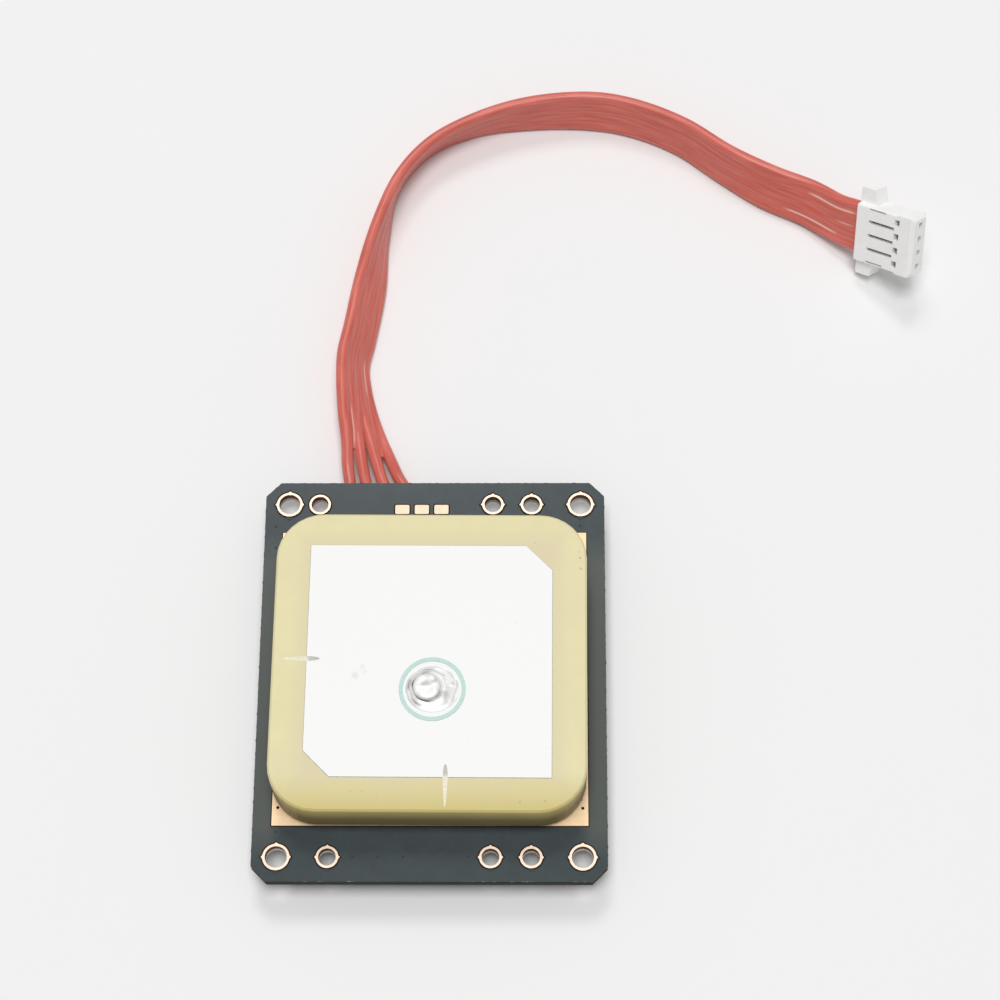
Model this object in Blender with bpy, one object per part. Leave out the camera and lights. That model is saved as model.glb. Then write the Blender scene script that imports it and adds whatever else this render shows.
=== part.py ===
"""A small GPS module: a ceramic patch antenna on a circuit board, with the receiver under
a shield can on the back of the board and a four-wire ribbon lead that ends in a crimp plug.

Metres, +Z up. The module lies as on a table, antenna up: the face of the shield can is at
Z = 0, the board's centre is at X = Y = 0, and the lead leaves over the board's +Y edge.
"""

import math

import bmesh
import bpy
from mathutils import Euler, Vector

# Seats: pieces that touch keep this clearance, and a shaft keeps it to its hole
SEAT = 0.00002
# Cutters run this far past the faces that they cut
CUT_MARGIN = 0.0010

# Antenna: a square ceramic block with a silver electrode on each face
CERAMIC_SIZE = 0.0250
CERAMIC_THICKNESS = 0.0040
CERAMIC_CORNER_RADIUS = 0.0038
CERAMIC_TOP_EDGE = 0.00016
CERAMIC_BOTTOM_EDGE = 0.00038
CERAMIC_OFFSET = (-0.00007, -0.00010)
CERAMIC_TURN = math.radians(-0.33)
ADHESIVE_THICKNESS = 0.00008
ADHESIVE_MARGIN = 0.0009
SILVER_THICKNESS = 0.00003
GROUND_MARGIN = 0.0006
PATCH_MARGIN = 0.002775
PATCH_CORNER_CUT = 0.0021
TRIM_CUT_WIDTH = 0.00038
TRIM_CUT_DEPTH = 0.00105
LEFT_TRIM_Y = 0.0000
FRONT_TRIM_X = 0.00145

# Circuit board: as large as the antenna and a margin on each side and each end
BOARD_SIDE_MARGIN = 0.0015
BOARD_END_MARGIN = 0.0045
BOARD_WIDTH = CERAMIC_SIZE + 2 * BOARD_SIDE_MARGIN
BOARD_LENGTH = CERAMIC_SIZE + 2 * BOARD_END_MARGIN
BOARD_THICKNESS = 0.0010
BOARD_CORNER_CUT = 0.0012
COPPER_THICKNESS = 0.00004

# Plated holes: four in the corners and six smaller ones in two rows
CORNER_HOLE_INSET = 0.00195
CORNER_HOLE_DIAMETER = 0.00175
CORNER_RING_DIAMETER = 0.00230
SMALL_HOLE_DIAMETER = 0.00140
SMALL_RING_DIAMETER = 0.00188
PLATING_WALL = 0.00006
RING_SPUR = 0.00018
BACK_ROW_FROM_LEFT = 0.00447
FRONT_ROW_FROM_LEFT = 0.00597
ROWS_FROM_RIGHT = (0.00920, 0.00600)

# Feed: the pin that joins the top electrode to the receiver
FEED_CENTRE = (0.00020, -0.00260)
FEED_HOLE_DIAMETER = 0.0019
FEED_CLEARANCE_DIAMETER = 0.0032
PIN_OFFSET = (-0.00042, 0.00010)
PIN_HEAD_DIAMETER = 0.00215
PIN_HEAD_HEIGHT = 0.00050
PIN_DIAMETER = 0.00090
PIN_TAIL = 0.00055
STOP_RING_INNER = 0.00465
STOP_RING_WIDTH = 0.000325
STOP_RING_THICKNESS = 0.00003
POOL_TO_RING_ENDS = 0.000225
POOL_TO_RING_SIDES = 0.000425
SOLDER_POOL_LENGTH = STOP_RING_INNER - 2 * POOL_TO_RING_ENDS
SOLDER_POOL_WIDTH = STOP_RING_INNER - 2 * POOL_TO_RING_SIDES
SOLDER_POOL_HEIGHT = 0.00032
BACK_JOINT_DIAMETER = 0.0019
BACK_JOINT_HEIGHT = 0.00048

# Shield can over the receiver, open towards the board
SHIELD_WIDTH = 0.0190
SHIELD_LENGTH = 0.0170
SHIELD_HEIGHT = 0.0024
SHIELD_SHEET = 0.00020
SHIELD_CORNER_RADIUS = 0.0009
SHIELD_BEND_RADIUS = 0.00030
SHIELD_CENTRE = (0.0, -0.0010)
SHIELD_NOTCH_WIDTH = 0.0011
SHIELD_NOTCH_HEIGHT = 0.00045
SHIELD_VENT_DIAMETER = 0.0009
SHIELD_VENT_PITCH = 0.0038

# Parts under the can: centre (x, y) from the can's middle, and size (x, y, height)
RECEIVER_SIZE = (0.0070, 0.0070, 0.00085)
RECEIVER_TO_BACK_WALL = 0.0003
RECEIVER_CENTRE = (
    0.0006, SHIELD_LENGTH / 2 - SHIELD_SHEET - RECEIVER_TO_BACK_WALL - RECEIVER_SIZE[1] / 2)
RECEIVER_EDGE = 0.00010
RECEIVER_PAD_PITCH = 0.00110
RECEIVER_PADS_A_SIDE = 5
RECEIVER_PAD_WIDTH = 0.00045
RECEIVER_PAD_DEPTH = 0.00030
RECEIVER_PAD_HEIGHT = 0.00018
RECEIVER_PAD_PROUD = 0.00004
OSCILLATOR_CENTRE = (-0.0058, 0.0056)
OSCILLATOR_SIZE = (0.0025, 0.0020, 0.00080)
CRYSTAL_CENTRE = (-0.0058, 0.0024)
CRYSTAL_SIZE = (0.0032, 0.0015, 0.00075)
LID_HEIGHT = 0.00020
LID_INSET = 0.00012
FILTER_CENTRE = (0.0033, -0.0034)
FILTER_SIZE = (0.0014, 0.0011, 0.00050)
AMPLIFIER_CENTRE = (0.0060, -0.0034)
AMPLIFIER_SIZE = (0.0016, 0.0016, 0.00060)
AMPLIFIER_STANDOFF = 0.00012
AMPLIFIER_INSET = 0.00003
INDUCTOR_CENTRE = (0.0016, -0.0034)
CHIP_CAPACITOR_CENTRES = ((0.0062, 0.0062), (0.0062, 0.0022), (-0.0043, -0.0030), (-0.0066, -0.0030))
SMALL_CHIP_SIZE = (0.0010, 0.0005, 0.00050)
LARGE_CHIP_SIZE = (0.0016, 0.0008, 0.00080)
CHIP_END = 0.00022
CHIP_END_PROUD = 0.00002

# Parts behind the can: x from the board's middle and y from the can's back edge
REGULATOR_CENTRE = (0.0048, 0.0038)
REGULATOR_SIZE = (0.0029, 0.0016, 0.0011)
REGULATOR_BEVEL = 0.00011
REGULATOR_STANDOFF = 0.00009
REGULATOR_LEAD_PITCH = 0.00095
REGULATOR_LEAD_WIDTH = 0.00040
REGULATOR_LEAD_SPAN = 0.0028
REGULATOR_LEAD_THICKNESS = 0.00016
REGULATOR_LEAD_SHOULDER = 0.00018
SUPPLY_CAPACITOR_CENTRES = ((0.0081, 0.0038), (0.0015, 0.0038))
SERIES_RESISTOR_CENTRES = ((-0.0042, 0.0011), (-0.0062, 0.0011))

# Parts in front of the can: x from the board's middle and y from the can's front edge. The
# cell's outer tab ends midway between the first two holes of the front row.
LED_CENTRE = (BOARD_WIDTH / 2 - 0.0045, -0.0016)
LED_SIZE = (0.0016, 0.0008, 0.00060)
LED_LENS_HEIGHT = 0.00036
LED_RESISTOR_CENTRE = (BOARD_WIDTH / 2 - 0.0068, -0.0016)
CELL_DIAMETER = 0.0048
CELL_TO_CAN = 0.0009
CELL_CENTRE = ((FRONT_ROW_FROM_LEFT - ROWS_FROM_RIGHT[0]) / 2, -CELL_TO_CAN - CELL_DIAMETER / 2)
CELL_HEIGHT = 0.0014
CELL_EDGE = 0.00022
CELL_CAP_STEP = 0.00030
CELL_TAB_WIDTH = 0.0014
CELL_TAB_THICKNESS = 0.00015
CELL_TAB_ON_FACE = 0.0012
CELL_TAB_REACH = 0.0007

# Lead: four insulated wires, bonded side by side, on four pads on the back of the board
WIRE_DIAMETER = 0.0010
WIRE_GAP = 0.00003
WIRE_COUNT = 4
WIRE_PAD_PITCH = 0.0020
WIRE_PAD_WIDTH = 0.0013
WIRE_PAD_LENGTH = 0.0020
WIRE_PADS_MIDDLE_X = -0.0042
WIRE_PADS_FROM_EDGE = 0.0041
WIRE_JOINT_WIDTH = 0.00105
WIRE_JOINT_LENGTH = 0.0015
WIRE_JOINT_HEIGHT = 0.00082
WIRE_START_STRAIGHT = 0.0011
WIRE_POINT_STEP = 0.0021

# Route of the ribbon's middle from the board's edge to the plug. Each row holds x and y,
# the height of the lowest wire over the table, the roll of the ribbon in degrees (0 lies
# flat, 90 stands on edge with its outer wire up) and how far the wires are spread apart.
RIBBON_ROUTE = (
    (-0.00518, 0.01774, 0.00121, 1, 0.00035),
    (-0.00567, 0.01963, 0.00065, 17, 0.00024),
    (-0.00612, 0.02164, 0.00018, 31, 0.00012),
    (-0.00674, 0.02424, 0.00004, 42, 0.00004),
    (-0.00716, 0.02702, 0.00002, 52, 0.0),
    (-0.00725, 0.02933, 0.0, 58, 0.0),
    (-0.00680, 0.03169, 0.0, 58, 0.0),
    (-0.00596, 0.03670, 0.0, 60, 0.0),
    (-0.00518, 0.04174, 0.0, 82, 0.0),
    (-0.00378, 0.04670, 0.0, 102, 0.0),
    (-0.00112, 0.05016, 0.0, 105, 0.0),
    (0.00300, 0.05242, 0.0, 98, 0.0),
    (0.00773, 0.05358, 0.0, 82, 0.0),
    (0.01323, 0.05386, 0.0, 71, 0.0),
    (0.01693, 0.05315, 0.0, 71, 0.0),
    (0.02124, 0.05122, 0.0, 71, 0.0),
    (0.02511, 0.04830, 0.00001, 70, 0.00005),
    (0.02868, 0.04610, 0.00002, 59, 0.00008),
    (0.03231, 0.04435, 0.00012, 56, 0.00010),
)

# Behind the plug the wires run on from their cavities: x from the plug's rear face, how far
# the ribbon's middle is to the outer wire's side of the plug's, and how much closer together
# the wires are than the contacts
PLUG_APPROACH = ((-0.0024, 0.00012, 0.00008), (-0.0009, 0.000045, 0.00003))

# Plug: it rests on the corner of one ear, and the stiff ribbon holds it up by its rear end.
# Its own frame has x from the rear face to the nose, y across and z up to the slotted face.
PLUG_REAR = (0.03727, 0.04163)
PLUG_TURN = math.radians(-35.4)
PLUG_CLIMB = math.radians(23.9)
PLUG_ROLL = math.radians(57.9)
PLUG_LENGTH = 0.0059
PLUG_EDGE = 0.00012
PLUG_NOSE_BEVEL = 0.00030
PLUG_HEAD_LENGTH = 0.0017
PLUG_HEAD_STEP = 0.00015
PLUG_EAR_REACH = 0.00135
PLUG_EAR_LENGTH = 0.0018
PLUG_EAR_SLOPE = 0.0004
PLUG_EAR_STEP = 0.0006
PLUG_SIDE_WALL = 0.00020
PLUG_ROOF = 0.00054
CONTACT_PITCH = 0.00125
WIRE_CLEARANCE = 0.00003
CAVITY_WIDTH = WIRE_DIAMETER + 2 * WIRE_CLEARANCE
CAVITY_HEIGHT = 0.0012
CAVITY_FLOOR = 0.00042
PLUG_NOSE_WALL = 0.0004
PLUG_WIDTH = (WIRE_COUNT - 1) * CONTACT_PITCH + CAVITY_WIDTH + 2 * PLUG_SIDE_WALL
PLUG_HEIGHT = CAVITY_FLOOR + CAVITY_HEIGHT + PLUG_ROOF
SLOT_WIDTH = 0.00032
SLOT_INTO_WALL = 0.0003
SLOT_FROM_REAR = 0.00134
SLOT_LENGTH = 0.00262
OUTER_SLOT_LENGTH = 0.0017
WINDOW_WIDTH = 0.00060
WINDOW_LENGTH = 0.0005
WINDOW_AFTER_SLOT = 0.00003
WIRE_IN_PLUG = 0.0010
CONTACT_CLEARANCE = 0.00005
CRIMP_LENGTH = 0.0010
CRIMP_WIDTH = 0.00075
CRIMP_HEIGHT = 0.00077
NECK_TAPER = 0.00020
NECK_LENGTH = 0.00050
NECK_WIDTH = 0.00050
NECK_HEIGHT = 0.00050
SOCKET_HEIGHT = 0.00102
SOCKET_OPENING = 0.00050
SOCKET_BACK_WALL = 0.00040
SOCKET_LEAD_IN = 0.00030

# Heights that follow from the stack
BOARD_BOTTOM = SHIELD_HEIGHT + SEAT
BOARD_TOP = BOARD_BOTTOM + BOARD_THICKNESS
LAND_TOP = BOARD_TOP + SEAT + COPPER_THICKNESS
ADHESIVE_TOP = LAND_TOP + SEAT + ADHESIVE_THICKNESS
GROUND_TOP = ADHESIVE_TOP + SEAT + SILVER_THICKNESS
CERAMIC_BOTTOM = GROUND_TOP + SEAT
CERAMIC_TOP = CERAMIC_BOTTOM + CERAMIC_THICKNESS
PATCH_TOP = CERAMIC_TOP + SEAT + SILVER_THICKNESS
PIN_CENTRE = (FEED_CENTRE[0] + PIN_OFFSET[0], FEED_CENTRE[1] + PIN_OFFSET[1])
CAN_BACK = SHIELD_CENTRE[1] + SHIELD_LENGTH / 2
CAN_FRONT = SHIELD_CENTRE[1] - SHIELD_LENGTH / 2
WIRE_PADS_Y = BOARD_LENGTH / 2 - WIRE_PADS_FROM_EDGE


# Helpers for materials, meshes and cuts


def material(name, colour, roughness, metallic=0.0):
    """The Principled material of this name, made once."""
    found = bpy.data.materials.get(name)
    if found:
        return found
    made = bpy.data.materials.new(name)
    made.use_nodes = True
    shader = made.node_tree.nodes["Principled BSDF"]
    shader.inputs["Base Color"].default_value = (*colour, 1.0)
    shader.inputs["Roughness"].default_value = roughness
    shader.inputs["Metallic"].default_value = metallic
    made.diffuse_color = (*colour, 1.0)
    return made


def solder_mask():
    return material("dark solder mask", (0.060, 0.082, 0.080), 0.45)


def gold():
    return material("gold plating", (0.78, 0.52, 0.30), 0.32, 1.0)


def silver_print():
    return material("fired silver", (0.88, 0.87, 0.84), 0.50, 0.7)


def solder():
    return material("solder", (0.72, 0.72, 0.70), 0.28, 1.0)


def tinned_sheet():
    return material("tinned sheet", (0.62, 0.63, 0.64), 0.35, 1.0)


def black_epoxy():
    return material("black epoxy", (0.020, 0.020, 0.022), 0.50)


def new_object(name, bm, surface, location=(0, 0, 0), rotation=(0, 0, 0), smooth=0):
    """One object from a closed bmesh. Edges under `smooth` degrees are shaded round."""
    bmesh.ops.recalc_face_normals(bm, faces=bm.faces)
    mesh = bpy.data.meshes.new(name)
    bm.to_mesh(mesh)
    bm.free()
    if smooth:
        mesh.shade_smooth()
        mesh.set_sharp_from_angle(angle=math.radians(smooth))
    obj = bpy.data.objects.new(name, mesh)
    if surface:
        mesh.materials.append(surface)
    obj.location = location
    obj.rotation_euler = rotation
    bpy.context.scene.collection.objects.link(obj)
    return obj


def loft(bm, sections):
    """A closed body through sections of equal point counts, with a cap on each end."""
    rings = [[bm.verts.new(point) for point in section] for section in sections]
    count = len(rings[0])
    for lower, upper in zip(rings, rings[1:]):
        for i in range(count):
            j = (i + 1) % count
            bm.faces.new((lower[i], lower[j], upper[j], upper[i]))
    bm.faces.new(rings[0][::-1])
    bm.faces.new(rings[-1])


def closed_loop(bm, rings):
    """A closed body whose last ring of points joins its first, such as an eyelet."""
    verts = [[bm.verts.new(point) for point in ring] for ring in rings]
    count = len(verts[0])
    for k, ring in enumerate(verts):
        following = verts[(k + 1) % len(verts)]
        for i in range(count):
            j = (i + 1) % count
            bm.faces.new((ring[i], ring[j], following[j], following[i]))


def at_height(outline, z):
    return [(x, y, z) for x, y in outline]


def prism(bm, outline, bottom, top):
    loft(bm, (at_height(outline, bottom), at_height(outline, top)))


def circle(radius, segments, centre=(0, 0)):
    turns = [2 * math.pi * i / segments for i in range(segments)]
    return [(centre[0] + radius * math.cos(a), centre[1] + radius * math.sin(a)) for a in turns]


def rectangle(width, length, centre=(0, 0)):
    x, y = width / 2, length / 2
    return [(centre[0] + sx * x, centre[1] + sy * y) for sx, sy in ((-1, -1), (1, -1), (1, 1), (-1, 1))]


def rounded_rectangle(width, length, radius, steps=6):
    """A rectangle about the origin with an arc of `steps` edges at each corner."""
    points = []
    for quarter, (sx, sy) in enumerate(((1, 1), (-1, 1), (-1, -1), (1, -1))):
        middle = (sx * (width / 2 - radius), sy * (length / 2 - radius))
        for i in range(steps + 1):
            turn = math.pi / 2 * (quarter + i / steps)
            points.append((middle[0] + radius * math.cos(turn), middle[1] + radius * math.sin(turn)))
    return points


def turned(bm, profile, segments, centre=(0, 0)):
    """A closed body of revolution. The profile holds (radius, z) and ends away from the axis."""
    loft(bm, [at_height(circle(radius, segments, centre), z) for radius, z in profile])


def cutter(name, bm, location=(0, 0, 0), rotation=(0, 0, 0)):
    obj = new_object(name, bm, None, location, rotation)
    obj.hide_render = True
    obj.display_type = "WIRE"
    return obj


def change(obj, other, operation):
    step = obj.modifiers.new(f"{operation.lower()} {other.name}", "BOOLEAN")
    step.operation = operation
    step.solver = "EXACT"
    step.object = other


def drill(obj, diameter, centre, segments=24):
    """Cuts a round hole down through the whole object at a place in the world."""
    bm = bmesh.new()
    prism(bm, circle(diameter / 2, segments, centre), BOARD_BOTTOM - CUT_MARGIN, PATCH_TOP + CUT_MARGIN)
    change(obj, cutter(f"{obj.name}_hole", bm), "DIFFERENCE")


# Circuit board and its plated holes


def hole_places():
    """Name, centre, hole diameter and ring diameter of each plated hole."""
    x = BOARD_WIDTH / 2
    y = BOARD_LENGTH / 2 - CORNER_HOLE_INSET
    corner_x = x - CORNER_HOLE_INSET
    places = []
    for side, sx in (("left", -1), ("right", 1)):
        for row, sy in (("front", -1), ("back", 1)):
            name = f"corner_hole_plating_{row}_{side}"
            centre = (sx * corner_x, sy * y)
            places.append((name, centre, CORNER_HOLE_DIAMETER, CORNER_RING_DIAMETER, RING_SPUR))
    rows = (("front", -1, FRONT_ROW_FROM_LEFT, RING_SPUR), ("back", 1, BACK_ROW_FROM_LEFT, 0.0))
    for row, sy, from_left, left_spur in rows:
        columns = [(from_left - x, left_spur)] + [(x - inset, RING_SPUR) for inset in ROWS_FROM_RIGHT]
        for number, (column, spur) in enumerate(columns, 1):
            name = f"small_hole_plating_{row}_{number}"
            places.append((name, (column, sy * y), SMALL_HOLE_DIAMETER, SMALL_RING_DIAMETER, spur))
    return places


def circuit_board():
    x, y, cut = BOARD_WIDTH / 2, BOARD_LENGTH / 2, BOARD_CORNER_CUT
    outline = []
    for sx, sy in ((1, 1), (-1, 1), (-1, -1), (1, -1)):
        corner = [(sx * x, sy * (y - cut)), (sx * (x - cut), sy * y)]
        outline += corner if sx * sy > 0 else corner[::-1]
    bm = bmesh.new()
    prism(bm, outline, BOARD_BOTTOM, BOARD_TOP)
    board = new_object("circuit_board", bm, solder_mask())
    bm = bmesh.new()
    below, above = BOARD_BOTTOM - CUT_MARGIN, BOARD_TOP + CUT_MARGIN
    for _, centre, hole, _, _ in hole_places():
        prism(bm, circle(hole / 2 + PLATING_WALL + SEAT, 24, centre), below, above)
    prism(bm, circle(PIN_DIAMETER / 2 + SEAT, 16, PIN_CENTRE), below, above)
    change(board, cutter("circuit_board_holes", bm), "DIFFERENCE")


def plated_hole(name, centre, hole, ring, spur):
    """A copper eyelet: a barrel down the hole with a flat ring on each face of the board."""
    segments = 24
    inner, barrel, outer = hole / 2, hole / 2 + PLATING_WALL, ring / 2
    top, under_top = LAND_TOP, LAND_TOP - COPPER_THICKNESS
    bottom = BOARD_BOTTOM - SEAT - COPPER_THICKNESS
    over_bottom = bottom + COPPER_THICKNESS
    spurred = [
        (x * (1 + spur / outer), y * (1 + spur / outer)) if i % (segments // 4) == 0 else (x, y)
        for i, (x, y) in enumerate(circle(outer, segments))
    ]
    inside, middle = circle(inner, segments), circle(barrel, segments)
    rings = [
        at_height(inside, top), at_height(spurred, top),
        at_height(spurred, under_top), at_height(middle, under_top),
        at_height(middle, over_bottom), at_height(spurred, over_bottom),
        at_height(spurred, bottom), at_height(inside, bottom),
    ]
    bm = bmesh.new()
    closed_loop(bm, rings)
    new_object(name, bm, gold(), (*centre, 0), smooth=40)


# Antenna


def on_ceramic(x, y):
    """A point given from the ceramic's centre, in the world."""
    cos, sin = math.cos(CERAMIC_TURN), math.sin(CERAMIC_TURN)
    return CERAMIC_OFFSET[0] + cos * x - sin * y, CERAMIC_OFFSET[1] + sin * x + cos * y


def antenna_land():
    bm = bmesh.new()
    prism(bm, rectangle(CERAMIC_SIZE, CERAMIC_SIZE), BOARD_TOP + SEAT, LAND_TOP)
    land = new_object("antenna_land", bm, gold())
    drill(land, FEED_CLEARANCE_DIAMETER, FEED_CENTRE)


def antenna_layer(name, margin, bottom, top, surface):
    """A thin sheet under the ceramic, smaller than it by a margin on each side."""
    size = CERAMIC_SIZE - 2 * margin
    outline = rounded_rectangle(size, size, CERAMIC_CORNER_RADIUS - margin)
    bm = bmesh.new()
    prism(bm, [on_ceramic(*point) for point in outline], bottom, top)
    layer = new_object(name, bm, surface)
    drill(layer, FEED_CLEARANCE_DIAMETER, FEED_CENTRE)


def antenna_ceramic():
    """The block, with a worn top edge and a wider bevel round its foot."""
    levels = (
        (CERAMIC_BOTTOM_EDGE, CERAMIC_BOTTOM),
        (0.0, CERAMIC_BOTTOM + CERAMIC_BOTTOM_EDGE),
        (0.0, CERAMIC_TOP - CERAMIC_TOP_EDGE),
        (CERAMIC_TOP_EDGE, CERAMIC_TOP),
    )
    bm = bmesh.new()
    sections = []
    for inset, z in levels:
        size = CERAMIC_SIZE - 2 * inset
        outline = rounded_rectangle(size, size, CERAMIC_CORNER_RADIUS - inset, 8)
        sections.append(at_height([on_ceramic(*point) for point in outline], z))
    loft(bm, sections)
    cream = material("dielectric ceramic", (0.76, 0.68, 0.38), 0.55)
    block = new_object("antenna_ceramic", bm, cream, smooth=30)
    drill(block, FEED_HOLE_DIAMETER, FEED_CENTRE)


def patch_electrode():
    """The top electrode: two opposite corners cut off, and a trim cut in two of its sides."""
    half, cut = CERAMIC_SIZE / 2 - PATCH_MARGIN, PATCH_CORNER_CUT
    depth, slit = TRIM_CUT_DEPTH, TRIM_CUT_WIDTH / 2
    outline = [
        (half, half - cut), (half - cut, half), (-half, half),
        (-half, LEFT_TRIM_Y + slit), (-half + depth, LEFT_TRIM_Y + slit),
        (-half + depth, LEFT_TRIM_Y - slit), (-half, LEFT_TRIM_Y - slit),
        (-half, -half + cut), (-half + cut, -half),
        (FRONT_TRIM_X - slit, -half), (FRONT_TRIM_X - slit, -half + depth),
        (FRONT_TRIM_X + slit, -half + depth), (FRONT_TRIM_X + slit, -half),
        (half, -half),
    ]
    bm = bmesh.new()
    prism(bm, [on_ceramic(*point) for point in outline], CERAMIC_TOP + SEAT, PATCH_TOP)
    patch = new_object("patch_electrode", bm, silver_print())
    drill(patch, FEED_HOLE_DIAMETER, FEED_CENTRE)


def solder_stop_ring():
    segments = 40
    inner = circle(STOP_RING_INNER / 2, segments)
    outer = circle(STOP_RING_INNER / 2 + STOP_RING_WIDTH, segments)
    bottom, top = PATCH_TOP + SEAT, PATCH_TOP + SEAT + STOP_RING_THICKNESS
    corners = ((inner, top), (outer, top), (outer, bottom), (inner, bottom))
    bm = bmesh.new()
    closed_loop(bm, [at_height(outline, z) for outline, z in corners])
    teal = material("green resist", (0.22, 0.52, 0.40), 0.40)
    new_object("solder_stop_ring", bm, teal, (*FEED_CENTRE, 0), smooth=40)


def feed_pin():
    """A nail-headed pin: a domed head on the electrode and a shank down through the board."""
    head, shank = PIN_HEAD_DIAMETER / 2, PIN_DIAMETER / 2
    seat = PATCH_TOP + SEAT
    tail = BOARD_BOTTOM - PIN_TAIL
    profile = [(shank * 0.6, tail), (shank, tail + shank * 0.4), (shank, seat), (head, seat)]
    for step in range(5):
        turn = math.radians(18 * step)
        profile.append((head * math.cos(turn), seat + PIN_HEAD_HEIGHT * (0.25 + 0.75 * math.sin(turn))))
    bm = bmesh.new()
    turned(bm, profile, 24)
    new_object("feed_pin", bm, solder(), (*PIN_CENTRE, 0), smooth=40)


def feed_solder():
    """The pool round the pin's head: high at the head, falling to a thin oval rim."""
    segments, steps = 28, 4
    inner = PIN_HEAD_DIAMETER / 2 + SEAT
    bottom = PATCH_TOP + SEAT
    rings = [[], []]
    for step in range(steps + 1):
        share = step / steps
        height = bottom + SILVER_THICKNESS + SOLDER_POOL_HEIGHT * (1 - share) ** 1.6
        ring = []
        for i in range(segments):
            turn = 2 * math.pi * i / segments
            near = Vector((inner * math.cos(turn), inner * math.sin(turn)))
            far = Vector((
                SOLDER_POOL_LENGTH / 2 * math.cos(turn) - PIN_OFFSET[0],
                SOLDER_POOL_WIDTH / 2 * math.sin(turn) - PIN_OFFSET[1],
            ))
            place = near.lerp(far, share)
            ring.append((place.x, place.y, height))
        rings.insert(-1, ring)
    rings[0] = [(x, y, bottom) for x, y, _ in rings[1]]
    rings[-1] = [(x, y, bottom) for x, y, _ in rings[-2]]
    bm = bmesh.new()
    closed_loop(bm, rings)
    new_object("feed_solder", bm, solder(), (*PIN_CENTRE, 0), smooth=40)


def feed_back_joint():
    """The solder cone round the pin's tail, under the board."""
    segments = 20
    inner, outer = PIN_DIAMETER / 2 + SEAT, BACK_JOINT_DIAMETER / 2
    top = BOARD_BOTTOM - SEAT
    profile = ((inner, top), (outer, top), ((inner + outer) / 2, top - BACK_JOINT_HEIGHT * 0.45),
               (inner + SILVER_THICKNESS, top - BACK_JOINT_HEIGHT), (inner, top - BACK_JOINT_HEIGHT))
    bm = bmesh.new()
    closed_loop(bm, [at_height(circle(radius, segments), z) for radius, z in profile])
    new_object("feed_pin_back_joint", bm, solder(), (*PIN_CENTRE, 0), smooth=40)


# Receiver side of the board


def shield_can():
    """A drawn sheet can: rounded bends, trace notches at its rim and a row of vent holes."""
    def shell(inset, bend, bottom, top):
        width, length = SHIELD_WIDTH - 2 * inset, SHIELD_LENGTH - 2 * inset
        sections = []
        for step in range(4):
            turn = math.radians(30 * step)
            draw_in = bend * (1 - math.sin(turn))
            radius = max(SHIELD_CORNER_RADIUS - inset - draw_in, SEAT)
            outline = rounded_rectangle(width - 2 * draw_in, length - 2 * draw_in, radius, 4)
            sections.append(at_height(outline, bottom + bend * (1 - math.cos(turn))))
        sections.append(at_height(rounded_rectangle(width, length, SHIELD_CORNER_RADIUS - inset, 4), top))
        return sections

    bm = bmesh.new()
    loft(bm, shell(0.0, SHIELD_BEND_RADIUS, 0.0, SHIELD_HEIGHT))
    can = new_object("shield_can", bm, tinned_sheet(), (*SHIELD_CENTRE, 0), smooth=35)
    bm = bmesh.new()
    inner_bend = SHIELD_BEND_RADIUS - SHIELD_SHEET / 2
    loft(bm, shell(SHIELD_SHEET, inner_bend, SHIELD_SHEET, SHIELD_HEIGHT + CUT_MARGIN))
    change(can, cutter("shield_can_inside", bm, (*SHIELD_CENTRE, 0)), "DIFFERENCE")
    bm = bmesh.new()
    low = SHIELD_HEIGHT - SHIELD_NOTCH_HEIGHT
    quarter = SHIELD_WIDTH / 4
    for x in (-quarter, quarter):
        notch = rectangle(SHIELD_NOTCH_WIDTH, SHIELD_LENGTH + 2 * CUT_MARGIN, (x, 0))
        prism(bm, notch, low, SHIELD_HEIGHT + CUT_MARGIN)
    change(can, cutter("shield_can_notches", bm, (*SHIELD_CENTRE, 0)), "DIFFERENCE")
    bm = bmesh.new()
    for column in (-1, 0, 1):
        centre = (column * SHIELD_VENT_PITCH, 0)
        prism(bm, circle(SHIELD_VENT_DIAMETER / 2, 12, centre), -CUT_MARGIN, 2 * SHIELD_SHEET)
    change(can, cutter("shield_can_vents", bm, (*SHIELD_CENTRE, 0)), "DIFFERENCE")


def hung(z):
    """A height counted downwards from the seat under the board."""
    return BOARD_BOTTOM - SEAT - z


def in_can(centre):
    return (SHIELD_CENTRE[0] + centre[0], SHIELD_CENTRE[1] + centre[1], 0)


def behind_can(centre):
    return (centre[0], CAN_BACK + centre[1], 0)


def before_can(centre):
    return (centre[0], CAN_FRONT + centre[1], 0)


def stepped_package(name, place, size, surface, split, lid_inset):
    """A base with a smaller lid or lens on it. It hangs under the board."""
    width, length, height = size
    base, lid = rectangle(width, length), rectangle(width - 2 * lid_inset, length - 2 * lid_inset)
    bm = bmesh.new()
    sections = ((base, 0.0), (base, split), (lid, split), (lid, height))
    loft(bm, [at_height(outline, hung(z)) for outline, z in sections])
    new_object(name, bm, surface, place)


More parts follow.
